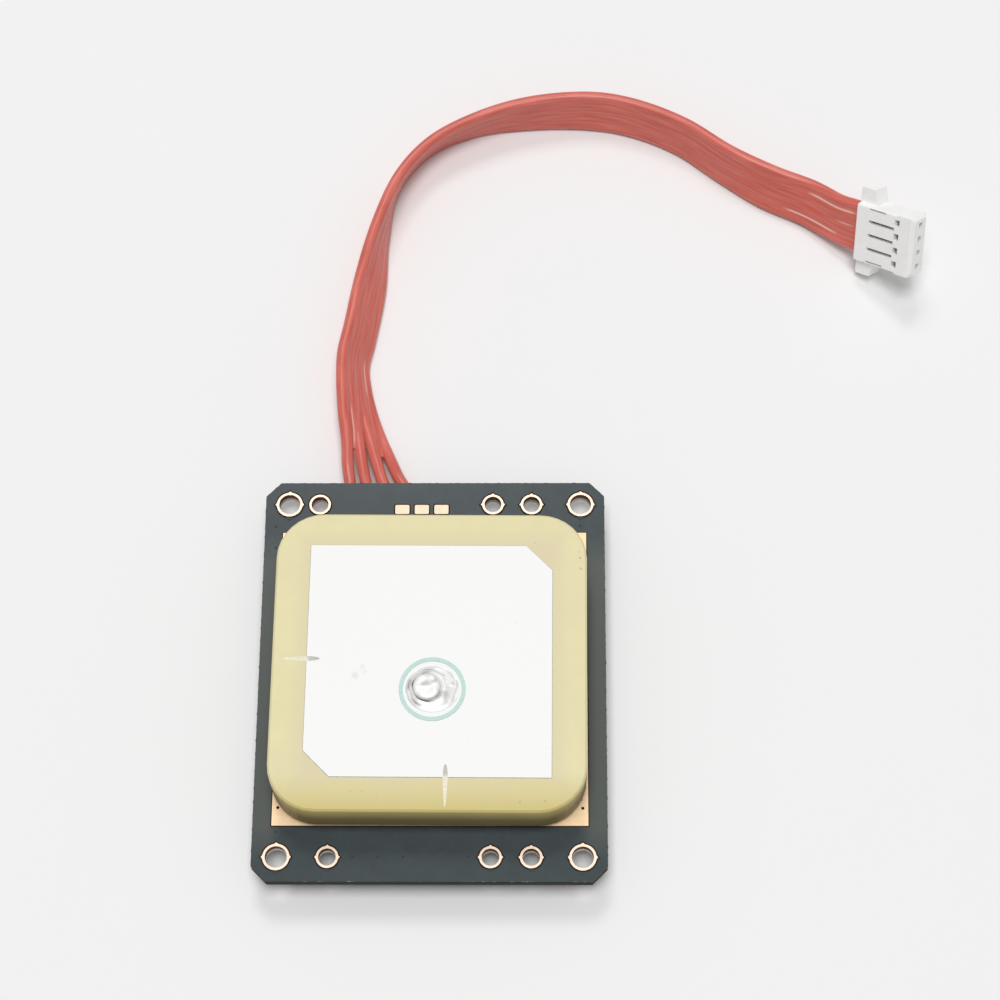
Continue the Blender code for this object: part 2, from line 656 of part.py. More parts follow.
def receiver_chip():
    """A leadless square package with a row of side pads along each edge."""
    width, length, height = RECEIVER_SIZE
    place = in_can(RECEIVER_CENTRE)
    bm = bmesh.new()
    levels = ((0.0, 0.0), (0.0, height - RECEIVER_EDGE), (RECEIVER_EDGE, height))
    loft(bm, [at_height(rectangle(width - 2 * i, length - 2 * i), hung(z)) for i, z in levels])
    chip = new_object("receiver_chip", bm, black_epoxy(), place)
    bm = bmesh.new()
    reach = RECEIVER_PAD_DEPTH + RECEIVER_PAD_PROUD
    inset = reach / 2 - RECEIVER_PAD_PROUD
    for number in range(RECEIVER_PADS_A_SIDE):
        along = (number - (RECEIVER_PADS_A_SIDE - 1) / 2) * RECEIVER_PAD_PITCH
        for side in (-1, 1):
            across = rectangle(reach, RECEIVER_PAD_WIDTH, (side * (width / 2 - inset), along))
            prism(bm, across, hung(RECEIVER_PAD_HEIGHT), hung(-SEAT / 2))
            down = rectangle(RECEIVER_PAD_WIDTH, reach, (along, side * (length / 2 - inset)))
            prism(bm, down, hung(RECEIVER_PAD_HEIGHT), hung(-SEAT / 2))
    change(chip, cutter("receiver_chip_pads", bm, place), "UNION")


def chip_part(name, place, size, surface, turn=90):
    """A two-terminal chip part: a body between two slightly proud metal ends."""
    length, width, height = size
    end = length / 2 - CHIP_END
    stations = ((-length / 2, 0.0), (-end, 0.0), (-end, CHIP_END_PROUD),
                (end, CHIP_END_PROUD), (end, 0.0), (length / 2, 0.0))
    sections = []
    for x, slim in stations:
        y, low, high = width / 2 - slim, hung(height - slim), hung(slim)
        sections.append([(x, -y, low), (x, y, low), (x, y, high), (x, -y, high)])
    bm = bmesh.new()
    loft(bm, sections)
    new_object(name, bm, surface, place, (0, 0, math.radians(turn)))


def voltage_regulator():
    """A moulded body with three gull-wing leads on one side and two on the other."""
    width, length, height = REGULATOR_SIZE
    place, middle, bevel = behind_can(REGULATOR_CENTRE), height / 2, REGULATOR_BEVEL
    bm = bmesh.new()
    levels = ((bevel, REGULATOR_STANDOFF), (0.0, middle), (bevel, height))
    loft(bm, [at_height(rectangle(width - 2 * i, length - 2 * i), hung(z)) for i, z in levels])
    body = new_object("voltage_regulator", bm, black_epoxy(), place)
    sheet, reach = REGULATOR_LEAD_THICKNESS, REGULATOR_LEAD_SPAN / 2
    knee, inside = length / 2 + REGULATOR_LEAD_SHOULDER, length / 2 - 2 * bevel
    side_view = (
        (inside, middle - sheet / 2), (knee, middle - sheet / 2), (knee + sheet, 0.0), (reach, 0.0),
        (reach, sheet), (knee + 2 * sheet, sheet),
        (knee + sheet, middle + sheet / 2), (inside, middle + sheet / 2),
    )
    bm = bmesh.new()
    half = REGULATOR_LEAD_WIDTH / 2
    for side, columns in ((1, (-1, 0, 1)), (-1, (-1, 1))):
        for column in columns:
            x = column * REGULATOR_LEAD_PITCH
            loft(bm, [[(x + edge, side * y, hung(z)) for y, z in side_view] for edge in (-half, half)])
    change(body, cutter("voltage_regulator_leads", bm, place), "UNION")


def backup_cell():
    """A coin cell between two welded tabs: one on its outer face, one against the board."""
    radius, sheet, edge = CELL_DIAMETER / 2, CELL_TAB_THICKNESS, CELL_EDGE
    place = before_can(CELL_CENTRE)
    near = sheet + SEAT
    far = near + CELL_HEIGHT
    cap = radius - edge - CELL_CAP_STEP
    profile = (
        (radius - edge, near), (radius, near + edge), (radius, far - 2 * edge),
        (radius - edge, far - edge), (cap, far - edge), (cap - edge / 2, far),
    )
    bm = bmesh.new()
    turned(bm, [(r, hung(z)) for r, z in profile], 32)
    steel = material("nickelled steel", (0.55, 0.55, 0.54), 0.30, 1.0)
    new_object("backup_cell", bm, steel, place, smooth=30)

    half, inner, reach = CELL_TAB_WIDTH / 2, -CELL_TAB_ON_FACE, radius + CELL_TAB_REACH
    bm = bmesh.new()
    prism(bm, [(inner, -half), (reach, -half), (reach, half), (inner, half)], hung(sheet), hung(0))
    new_object("backup_cell_board_tab", bm, tinned_sheet(), place)

    face, outside = far + SEAT, radius + 2 * sheet
    side_view = (
        (inner, face), (outside, face), (outside, 0.0), (reach, 0.0),
        (reach, sheet), (outside + sheet, sheet), (outside + sheet, face + sheet), (inner, face + sheet),
    )
    bm = bmesh.new()
    loft(bm, [[(-x, edge, hung(z)) for x, z in side_view] for edge in (-half, half)])
    new_object("backup_cell_outer_tab", bm, tinned_sheet(), place)


# Lead


def wire_offset(number):
    """Place of a wire across the lead, in spacings from its middle: the first is outermost."""
    return (WIRE_COUNT - 1) / 2 - number


def wire_pad_x(number):
    return WIRE_PADS_MIDDLE_X - wire_offset(number) * WIRE_PAD_PITCH


def wire_start_y():
    """Where the insulation ends, at the solder joint."""
    return WIRE_PADS_Y + WIRE_JOINT_LENGTH / 2 + SEAT


def wire_height_at_pad():
    return BOARD_BOTTOM - 2 * SEAT - COPPER_THICKNESS - WIRE_DIAMETER / 2


def wire_pad_and_joint(number):
    x = wire_pad_x(number)
    under = BOARD_BOTTOM - SEAT - COPPER_THICKNESS
    bm = bmesh.new()
    prism(bm, rectangle(WIRE_PAD_WIDTH, WIRE_PAD_LENGTH, (x, WIRE_PADS_Y)), under, BOARD_BOTTOM - SEAT)
    new_object(f"wire_pad_{number + 1}", bm, gold())

    seat = under - SEAT
    start = WIRE_PADS_Y - WIRE_JOINT_LENGTH / 2
    sections = []
    for along, share in ((0.0, 0.30), (0.12, 0.66), (0.35, 0.92), (0.65, 1.0), (1.0, 0.90)):
        y = start + along * WIRE_JOINT_LENGTH
        half, drop = WIRE_JOINT_WIDTH / 2 * share, WIRE_JOINT_HEIGHT * share
        arc = [math.pi * i / 8 for i in range(9)]
        sections.append([(x + half * math.cos(a), y, seat - drop * math.sin(a)) for a in arc])
    bm = bmesh.new()
    loft(bm, sections)
    new_object(f"wire_joint_{number + 1}", bm, solder(), smooth=40)


def plug_turn():
    return Euler((PLUG_ROLL, -PLUG_CLIMB, PLUG_TURN))


def ear_outline():
    """The rear of the housing from above, with an ear on each side, in the plug's frame."""
    half = PLUG_WIDTH / 2
    ear, tip = half + PLUG_EAR_REACH, PLUG_EAR_LENGTH - PLUG_EAR_SLOPE
    far = [(PLUG_EAR_LENGTH, half - PLUG_EDGE), (tip, ear), (PLUG_EDGE, ear), (0, ear - PLUG_EDGE)]
    return far + [(x, -y) for x, y in reversed(far)]


def plug_place():
    """The plug's rear face at its bottom edge, as high as sets its lowest corner on the table."""
    corners = [plug_turn().to_matrix() @ Vector((x, y, 0)) for x, y in ear_outline()]
    return Vector((*PLUG_REAR, SEAT - min(corner.z for corner in corners)))


def plug_point(x, y, z):
    """A point given in the plug's own frame, in the world."""
    return plug_place() + plug_turn().to_matrix() @ Vector((x, y, z))


def contact_y(number):
    return wire_offset(number) * CONTACT_PITCH


def cavity_middle():
    return CAVITY_FLOOR + CAVITY_HEIGHT / 2


def wire_knots(number):
    """The points that a wire's middle passes: its pad, the ribbon's route and its cavity."""
    offset = wire_offset(number)
    x, y, z = wire_pad_x(number), wire_start_y(), wire_height_at_pad()
    knots = [Vector((x, y, z)), Vector((x, y + WIRE_START_STRAIGHT, z))]
    for i, (x, y, lift, roll, spread) in enumerate(RIBBON_ROUTE):
        before = RIBBON_ROUTE[max(i - 1, 0)]
        after = RIBBON_ROUTE[min(i + 1, len(RIBBON_ROUTE) - 1)]
        along = Vector((after[0] - before[0], after[1] - before[1], 0)).normalized()
        outward = Vector((-along.y, along.x, 0))
        roll = math.radians(roll)
        side = outward * math.cos(roll) + Vector((0, 0, math.sin(roll)))
        spacing = WIRE_DIAMETER + WIRE_GAP + spread
        half_width = (WIRE_COUNT - 1) / 2 * spacing
        middle = Vector((x, y, lift + WIRE_DIAMETER / 2 + half_width * abs(math.sin(roll))))
        knots.append(middle + side * offset * spacing)
    for x, shift, closer in (*PLUG_APPROACH, (0.0, 0.0, 0.0), (WIRE_IN_PLUG, 0.0, 0.0)):
        knots.append(plug_point(x, shift + offset * (CONTACT_PITCH - closer), cavity_middle()))
    return knots


def smooth_through(knots, step):
    """Points on a centripetal Catmull-Rom curve through the knots, each knot among them."""
    ends = [2 * knots[0] - knots[1]] + knots + [2 * knots[-1] - knots[-2]]
    points = [knots[0]]
    for p0, p1, p2, p3 in zip(ends, ends[1:], ends[2:], ends[3:]):
        t1 = (p1 - p0).length ** 0.5
        t2 = t1 + (p2 - p1).length ** 0.5
        t3 = t2 + (p3 - p2).length ** 0.5
        count = max(1, math.ceil((p2 - p1).length / step))
        for i in range(1, count + 1):
            t = t1 + (t2 - t1) * i / count
            a1 = p0.lerp(p1, t / t1)
            a2 = p1.lerp(p2, (t - t1) / (t2 - t1))
            a3 = p2.lerp(p3, (t - t2) / (t3 - t2))
            b1 = a1.lerp(a2, t / t2)
            b2 = a2.lerp(a3, (t - t1) / (t3 - t1))
            points.append(b1.lerp(b2, (t - t1) / (t2 - t1)))
    return points


def lead_wire(number):
    points = smooth_through(wire_knots(number), WIRE_POINT_STEP)
    name = f"lead_wire_{number + 1}"
    curve = bpy.data.curves.new(name, "CURVE")
    curve.dimensions = "3D"
    curve.bevel_depth = WIRE_DIAMETER / 2
    curve.bevel_resolution = 2
    curve.use_fill_caps = True
    spline = curve.splines.new("POLY")
    spline.points.add(len(points) - 1)
    for spot, place in zip(spline.points, points):
        spot.co = (*place, 1)
    curve.materials.append(material("red insulation", (0.48, 0.070, 0.045), 0.40))
    bpy.context.scene.collection.objects.link(bpy.data.objects.new(name, curve))


# Plug


def box(bm, rear, front, width, low, high, y):
    """A block in the plug's frame, from `rear` to `front`."""
    prism(bm, rectangle(front - rear, width, ((rear + front) / 2, y)), low, high)


def end_view(x, width, height, bevel):
    """The housing's cross-section at x, standing on its bottom face, with bevelled corners."""
    middle = PLUG_HEIGHT / 2
    return [(x, y, middle + z) for y, z in rounded_rectangle(width, height, bevel, 1)]


def latch_slots():
    """Middle, width and length of each slot beside the latch fingers."""
    slots = []
    for number in range(WIRE_COUNT - 1):
        slots.append(((contact_y(number) + contact_y(number + 1)) / 2, SLOT_WIDTH, SLOT_LENGTH))
    outer = contact_y(0) + CAVITY_WIDTH / 2
    return slots + [(side * outer, SLOT_WIDTH / 2, OUTER_SLOT_LENGTH) for side in (-1, 1)]


def plug_housing():
    """The moulded housing: a block with a wider head, an ear on each rear side, a cavity for
    each contact, and slots and windows that free a latch finger over each contact."""
    place, turn = plug_place(), plug_turn()
    plastic = material("white polyamide", (0.78, 0.76, 0.73), 0.45)
    head = PLUG_WIDTH + 2 * PLUG_HEAD_STEP
    shoulder = PLUG_LENGTH - PLUG_HEAD_LENGTH
    stations = (
        (0.0, PLUG_WIDTH, PLUG_EDGE), (PLUG_EDGE, PLUG_WIDTH, 0.0), (shoulder, PLUG_WIDTH, 0.0),
        (shoulder + PLUG_HEAD_STEP, head, 0.0), (PLUG_LENGTH - PLUG_NOSE_BEVEL, head, 0.0),
        (PLUG_LENGTH, head, PLUG_NOSE_BEVEL),
    )
    bm = bmesh.new()
    loft(bm, [
        end_view(x, width - 2 * inset, PLUG_HEIGHT - 2 * inset, PLUG_EDGE) for x, width, inset in stations
    ])
    housing = new_object("plug_housing", bm, plastic, place, turn)
    bm = bmesh.new()
    prism(bm, ear_outline(), 0.0, PLUG_HEIGHT - PLUG_EAR_STEP)
    change(housing, cutter("plug_ears", bm, place, turn), "UNION")

    bm = bmesh.new()
    top, beyond = CAVITY_FLOOR + CAVITY_HEIGHT, PLUG_HEIGHT + CUT_MARGIN
    for number in range(WIRE_COUNT):
        front = PLUG_LENGTH - PLUG_NOSE_WALL
        box(bm, -CUT_MARGIN, front, CAVITY_WIDTH, CAVITY_FLOOR, top, contact_y(number))
    change(housing, cutter("plug_cavities", bm, place, turn), "DIFFERENCE")
    bm = bmesh.new()
    low, high = cavity_middle() - SOCKET_OPENING / 2, cavity_middle() + SOCKET_OPENING / 2
    window = SLOT_FROM_REAR + SLOT_LENGTH + WINDOW_AFTER_SLOT
    for y, width, length in latch_slots():
        box(bm, SLOT_FROM_REAR, SLOT_FROM_REAR + length, width, top - SLOT_INTO_WALL, beyond, y)
    for number in range(WIRE_COUNT):
        y = contact_y(number)
        box(bm, window, window + WINDOW_LENGTH, WINDOW_WIDTH, cavity_middle(), beyond, y)
        box(bm, PLUG_LENGTH - 2 * PLUG_NOSE_WALL, PLUG_LENGTH + CUT_MARGIN, SOCKET_OPENING, low, high, y)
    change(housing, cutter("plug_openings", bm, place, turn), "DIFFERENCE")


def plug_contact(number):
    """A formed contact: crimp barrel on the wire, neck, then the socket for the header's pin."""
    place, turn = plug_point(0, contact_y(number), cavity_middle()), plug_turn()
    width = CAVITY_WIDTH - 2 * CONTACT_CLEARANCE
    rear = WIRE_IN_PLUG + SEAT
    barrel = rear + CRIMP_LENGTH
    neck, socket = barrel + NECK_TAPER, barrel + NECK_TAPER + NECK_LENGTH
    nose = PLUG_LENGTH - PLUG_NOSE_WALL - CONTACT_CLEARANCE
    stations = (
        (rear, CRIMP_WIDTH, CRIMP_HEIGHT), (barrel, CRIMP_WIDTH, CRIMP_HEIGHT),
        (neck, NECK_WIDTH, NECK_HEIGHT), (socket, NECK_WIDTH, NECK_HEIGHT),
        (socket + NECK_TAPER, width, SOCKET_HEIGHT), (nose - SOCKET_LEAD_IN, width, SOCKET_HEIGHT),
        (nose, (width + SOCKET_OPENING) / 2, (SOCKET_HEIGHT + SOCKET_OPENING) / 2),
    )
    bm = bmesh.new()
    sections = []
    for x, wide, high in stations:
        corner = min(wide, high) / 5
        sections.append([(x, y, z) for y, z in rounded_rectangle(wide, high, corner, 1)])
    loft(bm, sections)
    bronze = material("tinned bronze", (0.50, 0.48, 0.44), 0.35, 1.0)
    contact = new_object(f"plug_contact_{number + 1}", bm, bronze, place, turn)
    bm = bmesh.new()
    half, back = SOCKET_OPENING / 2, socket + NECK_TAPER + SOCKET_BACK_WALL
    box(bm, back, nose + CUT_MARGIN, SOCKET_OPENING, -half, half, 0.0)
    change(contact, cutter(f"plug_contact_{number + 1}_socket", bm, place, turn), "DIFFERENCE")


def build():
    for obj in list(bpy.data.objects):
        bpy.data.objects.remove(obj)
    circuit_board()
    for place in hole_places():
        plated_hole(*place)
    antenna_land()
    foam = material("adhesive tape", (0.55, 0.55, 0.52), 0.7)
    antenna_layer("adhesive_pad", ADHESIVE_MARGIN, LAND_TOP + SEAT, ADHESIVE_TOP, foam)
    antenna_layer("ground_electrode", GROUND_MARGIN, ADHESIVE_TOP + SEAT, GROUND_TOP, silver_print())
    antenna_ceramic()
    patch_electrode()
    solder_stop_ring()
    feed_pin()
    feed_solder()
    feed_back_joint()
    shield_can()
    receiver_chip()
    lidded = (tinned_sheet(), LID_HEIGHT, LID_INSET)
    for name, centre, size, surface, lid, inset in (
        ("reference_oscillator", OSCILLATOR_CENTRE, OSCILLATOR_SIZE, *lidded),
        ("clock_crystal", CRYSTAL_CENTRE, CRYSTAL_SIZE, *lidded),
        ("antenna_filter", FILTER_CENTRE, FILTER_SIZE, *lidded),
        ("antenna_amplifier", AMPLIFIER_CENTRE, AMPLIFIER_SIZE, black_epoxy(),
         AMPLIFIER_SIZE[2] - AMPLIFIER_STANDOFF, AMPLIFIER_INSET),
    ):
        stepped_package(name, in_can(centre), size, surface, size[2] - lid, inset)
    tan = material("capacitor ceramic", (0.42, 0.27, 0.16), 0.45)
    chip_part("matching_inductor", in_can(INDUCTOR_CENTRE), SMALL_CHIP_SIZE, tan)
    for number, centre in enumerate(CHIP_CAPACITOR_CENTRES, 1):
        chip_part(f"chip_capacitor_{number}", in_can(centre), SMALL_CHIP_SIZE, tan)
    for number, centre in enumerate(SUPPLY_CAPACITOR_CENTRES, 1):
        chip_part(f"supply_capacitor_{number}", behind_can(centre), LARGE_CHIP_SIZE, tan)
    for number, centre in enumerate(SERIES_RESISTOR_CENTRES, 1):
        chip_part(f"series_resistor_{number}", behind_can(centre), SMALL_CHIP_SIZE, black_epoxy())
    chip_part("led_resistor", before_can(LED_RESISTOR_CENTRE), SMALL_CHIP_SIZE, black_epoxy())
    clear = material("clear epoxy", (0.80, 0.80, 0.70), 0.15)
    split = LED_SIZE[2] - LED_LENS_HEIGHT
    stepped_package("status_led", before_can(LED_CENTRE), LED_SIZE, clear, split, LID_INSET)
    voltage_regulator()
    backup_cell()
    for number in range(WIRE_COUNT):
        wire_pad_and_joint(number)
        lead_wire(number)
        plug_contact(number)
    plug_housing()


build()
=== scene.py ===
"""The satellite positioning module as it lies on a pale table: board, patch antenna, shielded
receiver and ribbon lead. Metres, +Z up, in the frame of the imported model.
"""

import math

import bpy
import numpy as np
from mathutils import Euler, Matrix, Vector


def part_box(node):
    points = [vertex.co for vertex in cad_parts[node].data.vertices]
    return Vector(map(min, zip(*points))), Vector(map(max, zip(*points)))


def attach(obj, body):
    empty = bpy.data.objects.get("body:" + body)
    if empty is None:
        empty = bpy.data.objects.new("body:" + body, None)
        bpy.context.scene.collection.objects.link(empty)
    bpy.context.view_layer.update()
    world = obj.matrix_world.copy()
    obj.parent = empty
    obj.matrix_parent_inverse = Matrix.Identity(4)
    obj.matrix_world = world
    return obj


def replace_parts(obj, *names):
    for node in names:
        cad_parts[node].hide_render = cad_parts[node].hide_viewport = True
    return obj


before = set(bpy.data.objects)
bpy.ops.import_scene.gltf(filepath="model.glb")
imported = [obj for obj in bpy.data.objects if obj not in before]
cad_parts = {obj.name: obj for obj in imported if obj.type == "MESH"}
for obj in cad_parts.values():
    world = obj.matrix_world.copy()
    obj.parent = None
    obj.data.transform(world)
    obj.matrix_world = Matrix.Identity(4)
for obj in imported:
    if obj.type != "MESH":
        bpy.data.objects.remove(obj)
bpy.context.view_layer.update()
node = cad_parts

# The viewpoint: a long lens above the front of the module, a little right of its middle.
def placed(name, data):
    """A new object of a mesh, lamp or camera, linked to the scene."""
    made = bpy.data.objects.new(name, data)
    bpy.context.scene.collection.objects.link(made)
    return made


viewpoint = bpy.data.cameras.new("viewpoint")
viewpoint.sensor_width = 36
viewpoint.lens = 96.336
viewpoint.clip_start = 0.01
viewpoint.clip_end = 10
camera = placed("viewpoint", viewpoint)
camera.location = (0.008841, -0.072585, 0.20706)
camera.rotation_euler = [math.radians(a) for a in (23.387, 0.838, 0.31)]
bpy.context.scene.camera = camera


# Lead: four stranded wires in soft red insulation that is moulded side by side into one
# ribbon. They split near the board, where each is soldered to its pad, and at the plug,
# where each is crimped in its contact.
wire_radius = 0.0005
wire_spacing = 0.00103
pad_pitch = 0.0020
pads_middle_x = -0.0042
insulation_end = (0.01367, 0.01477)
insulation_height = 0.00184
# x, y, height of the lowest wire, roll in degrees and extra spacing, as in the solid model
ribbon_route = np.array([
    (-0.00518, 0.01774, 0.00121, 1, 0.00035),
    (-0.00567, 0.01963, 0.00065, 17, 0.00024),
    (-0.00612, 0.02164, 0.00018, 31, 0.00012),
    (-0.00674, 0.02424, 0.00004, 42, 0.00004),
    (-0.00716, 0.02702, 0.00002, 52, 0.0),
    (-0.00725, 0.02933, 0.0, 58, 0.0),
    (-0.00680, 0.03169, 0.0, 58, 0.0),
    (-0.00596, 0.03670, 0.0, 60, 0.0),
    (-0.00518, 0.04174, 0.0, 82, 0.0),
    (-0.00378, 0.04670, 0.0, 102, 0.0),
    (-0.00112, 0.05016, 0.0, 105, 0.0),
    (0.00300, 0.05242, 0.0, 98, 0.0),
    (0.00773, 0.05358, 0.0, 82, 0.0),
    (0.01323, 0.05386, 0.0, 71, 0.0),
    (0.01693, 0.05315, 0.0, 71, 0.0),
    (0.02124, 0.05122, 0.0, 71, 0.0),
    (0.02511, 0.04830, 0.00001, 70, 0.00005),
    (0.02868, 0.04610, 0.00002, 59, 0.00008),
    (0.03231, 0.04435, 0.00012, 56, 0.00010),
])
plug_rear = np.array([0.03727, 0.04163, 0.003034])
plug_axes = np.array(Euler([math.radians(a) for a in (57.9, -23.9, -35.4)]).to_matrix())
contact_pitch = 0.00125
cavity_height = 0.00102
# the last four knots of a wire, in the plug's frame: how far along, how much closer
# together than the contacts, and how far to the side
knots_along = np.array([-0.0024, -0.0009, 0.0, 0.0010])
knots_closer = np.array([0.00008, 0.00003, 0.0, 0.0])
knots_aside = np.array([0.00012, 0.000045, 0.0, 0.0])
round_a_wire = 20
web_thickness = 0.000976
web_dip = 0.11
split_length = 0.002
streak_fade = 0.0008
streak_height = 0.00003


def in_plug(points):
    """Points of the plug's own frame (x to the nose, y across, z up), in the world."""
    return plug_rear + np.asarray(points) @ plug_axes.T


def unit(vectors):
    """Each vector divided by its own length."""
    return vectors / np.linalg.norm(vectors, axis=-1, keepdims=True)


def ribbon_knots():
    """The points that each wire passes, as an array of wire, knot, xyz.

    At a row of the route the wires lie on one line across it. The line is the route's
    left-hand normal turned up by the roll, and the wires are one spacing apart on it.
    """
    place = (1.5 - np.arange(4))[:, None, None]
    x, y, lift, roll, spread = ribbon_route.T
    roll, spacing = np.radians(roll), wire_spacing + spread
    way = np.empty((len(x), 2))
    way[1:-1] = ribbon_route[2:, :2] - ribbon_route[:-2, :2]
    way[0] = ribbon_route[1, :2] - ribbon_route[0, :2]
    way[-1] = ribbon_route[-1, :2] - ribbon_route[-2, :2]
    way = unit(way)
    across = np.stack([-way[:, 1] * np.cos(roll), way[:, 0] * np.cos(roll), np.sin(roll)], axis=1)
    height = lift + wire_radius + 1.5 * spacing * np.abs(np.sin(roll))
    middle = np.stack([x, y, height], axis=1)
    on_route = middle + place * (spacing[:, None] * across)
    at_pads = np.empty((4, 2, 3))
    at_pads[:, :, 0] = pads_middle_x - place[:, :, 0] * pad_pitch
    at_pads[:, :, 1] = insulation_end
    at_pads[:, :, 2] = insulation_height
    plug_end = np.empty((4, 4, 3))
    plug_end[:, :, 0] = knots_along
    plug_end[:, :, 1] = knots_aside + place[:, :, 0] * (contact_pitch - knots_closer)
    plug_end[:, :, 2] = cavity_height
    return np.concatenate([at_pads, on_route, in_plug(plug_end)], axis=1)


def through(knots, steps):
    """A centripetal Catmull-Rom curve through the knots of each wire, `steps` points a span."""
    ends = [2 * knots[:, :1] - knots[:, 1:2], knots, 2 * knots[:, -1:] - knots[:, -2:-1]]
    k = np.concatenate(ends, axis=1)[:, :, None, :]
    p0, p1, p2, p3 = k[:, :-3], k[:, 1:-2], k[:, 2:-1], k[:, 3:]
    t1 = np.linalg.norm(p1 - p0, axis=-1, keepdims=True) ** 0.5
    t2 = t1 + np.linalg.norm(p2 - p1, axis=-1, keepdims=True) ** 0.5
    t3 = t2 + np.linalg.norm(p3 - p2, axis=-1, keepdims=True) ** 0.5
    t = t1 + (t2 - t1) * (np.arange(steps) / steps)[None, None, :, None]
    a1 = p0 + (p1 - p0) * t / t1
    a2 = p1 + (p2 - p1) * (t - t1) / (t2 - t1)
    a3 = p2 + (p3 - p2) * (t - t2) / (t3 - t2)
    b1 = a1 + (a2 - a1) * t / t2
    b2 = a2 + (a3 - a2) * (t - t1) / (t3 - t1)
    c = b1 + (b2 - b1) * (t - t1) / (t2 - t1)
    points = c.reshape(knots.shape[0], -1, 3)
    return np.concatenate([points, knots[:, -1:]], axis=1)


def grid_mesh(name, grid, joined=False, attributes=(), sharp=40):
    """A closed mesh from a grid of points: row after row, and each row closed on itself.

    Point (i, j) joins (i, j + 1) round its row and (i + 1, j) along the piece. The first
    and last rows are closed with a face each, or joined to each other, as in a ring.
    """
    rows, round_ = grid.shape[:2]
    i, j = np.meshgrid(np.arange(rows if joined else rows - 1), np.arange(round_), indexing="ij")
    after, below = (j + 1) % round_, (i + 1) % rows
    quads = np.stack([i * round_ + j, i * round_ + after, below * round_ + after,
                      below * round_ + j], axis=-1)
    faces = quads.reshape(-1, 4).tolist()
    if not joined:
        faces.append(list(range(round_))[::-1])
        faces.append(list(range((rows - 1) * round_, rows * round_)))
    mesh = bpy.data.meshes.new(name)
    mesh.from_pydata(grid.reshape(-1, 3).tolist(), [], faces)
    for label, values in attributes:
        layer = mesh.attributes.new(label, "FLOAT", "POINT")
        layer.data.foreach_set("value", np.ascontiguousarray(values, dtype=np.float32).ravel())
    mesh.shade_smooth()
    mesh.set_sharp_from_angle(angle=math.radians(sharp))
    return placed(name, mesh)


def outwards(piece):
    """Turns the mesh inside out if its signed volume, the sum of its cones, is negative."""
    mesh = piece.data
    mesh.calc_loop_triangles()
    corner = np.empty(len(mesh.vertices) * 3)
    mesh.vertices.foreach_get("co", corner)
    corner = corner.reshape(-1, 3)
    index = np.empty(len(mesh.loop_triangles) * 3, dtype=np.int32)
    mesh.loop_triangles.foreach_get("vertices", index)
    a, b, c = corner[index.reshape(-1, 3)].transpose(1, 0, 2) - corner.mean(axis=0)
    if np.einsum("ij,ij->", a, np.cross(b, c)) < 0:
        mesh.flip_normals()


def fitted(piece, material):
    """A new piece with its faces outwards, its material, and its place on the module."""
    outwards(piece)
    piece.data.materials.append(material)
    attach(piece, "root")
    return piece


points_a_span = 9
wires = through(ribbon_knots(), points_a_span)
stretches = np.linalg.norm(np.diff(wires, axis=1), axis=2)
along = np.concatenate([np.zeros((4, 1)), np.cumsum(stretches, axis=1)], axis=1)
tangent = unit(np.gradient(wires, axis=1))
sideways = np.gradient(wires, axis=0)
sideways = unit(sideways - np.sum(sideways * tangent, axis=2, keepdims=True) * tangent)
upward = np.cross(tangent, sideways)


def wire_tube(number):
    """The insulation: circles of the wire's radius square to its path, one at each point."""
    turn = np.linspace(0, 2 * np.pi, round_a_wire, endpoint=False)
    cos, sin = np.cos(turn)[None, :, None], np.sin(turn)[None, :, None]
    out = cos * sideways[number][:, None] + sin * upward[number][:, None]
    grid = wires[number][:, None] + wire_radius * out
    length = np.repeat(along[number][:, None], round_a_wire, axis=1)
    across = np.repeat((number + 0.5 + 0.5 * np.cos(turn))[None], len(grid), axis=0)
    return grid_mesh(f"insulation_{number + 1}", grid, sharp=60,
                     attributes=[("along", length), ("across", across)])


def web_strip(number, start, streaks):
    """The skin between two wires: a lens from one wire's middle to the other's.

    Its half-thickness is a little under the wire's radius and dips midway with the square
    of a sine. It shrinks to nothing where the ribbon splits. Each of the streaks is a stretch
    where the skin has drawn up to a fine ridge midway, and fades out at its ends. It is given
    in metres from the board's end, or back from the plug's end if negative. Along the ridge
    of each of the streaks the skin is also painted pale, as a painted highlight.
    """
    place, total = along[number], along[number][-1]
    keep = (place > start) & (place < total - 0.0011)
    place = place[keep]
    from_split = np.clip((place - start) / split_length, 0, 1)
    ridge = np.zeros(len(place))
    for near, far, strength in streaks:
        near, far = (total + near, total + far) if near < 0 else (near, far)
        fade_in = np.clip((place - near) / streak_fade, 0, 1)
        fade_out = np.clip((far - place) / streak_fade, 0, 1)
        ridge = np.maximum(ridge, strength * (fade_in * fade_out))
    first, second = wires[number][keep], wires[number + 1][keep]
    up = unit(upward[number][keep] + upward[number + 1][keep])
    share = np.array([0.0, 0.1, 0.2, 0.3, 0.38, 0.45, 0.5, 0.55, 0.62, 0.7, 0.8, 0.9, 1.0])
    crest = ridge[:, None] * np.clip(1 - np.abs(share - 0.5) / 0.11, 0, 1)[None]
    lens = (1 - web_dip * np.sin(np.pi * share) ** 2)[None]
    half = web_thickness / 2 * np.sqrt(from_split)[:, None] * lens + streak_height * crest
    middle = first[:, None] + (second - first)[:, None] * share[None, :, None]
    top = middle + up[:, None] * half[:, :, None]
    bottom = middle - up[:, None] * half[:, :, None]
    grid = np.concatenate([top, bottom[:, ::-1]], axis=1)
    columns = len(share)
    length = np.repeat(place[:, None], 2 * columns, axis=1)
    across = np.repeat(np.concatenate([share, share[::-1]])[None] + number + 0.5, len(grid), axis=0)
    # The share of painted highlight along the ridges of the streaks.
    painted_highlight = np.concatenate([crest, crest[:, ::-1]], axis=1)
    return grid_mesh(f"ribbon_web_{number + 1}", grid, sharp=60,
                     attributes=[("along", length), ("across", across), ("painted_highlight", painted_highlight)])


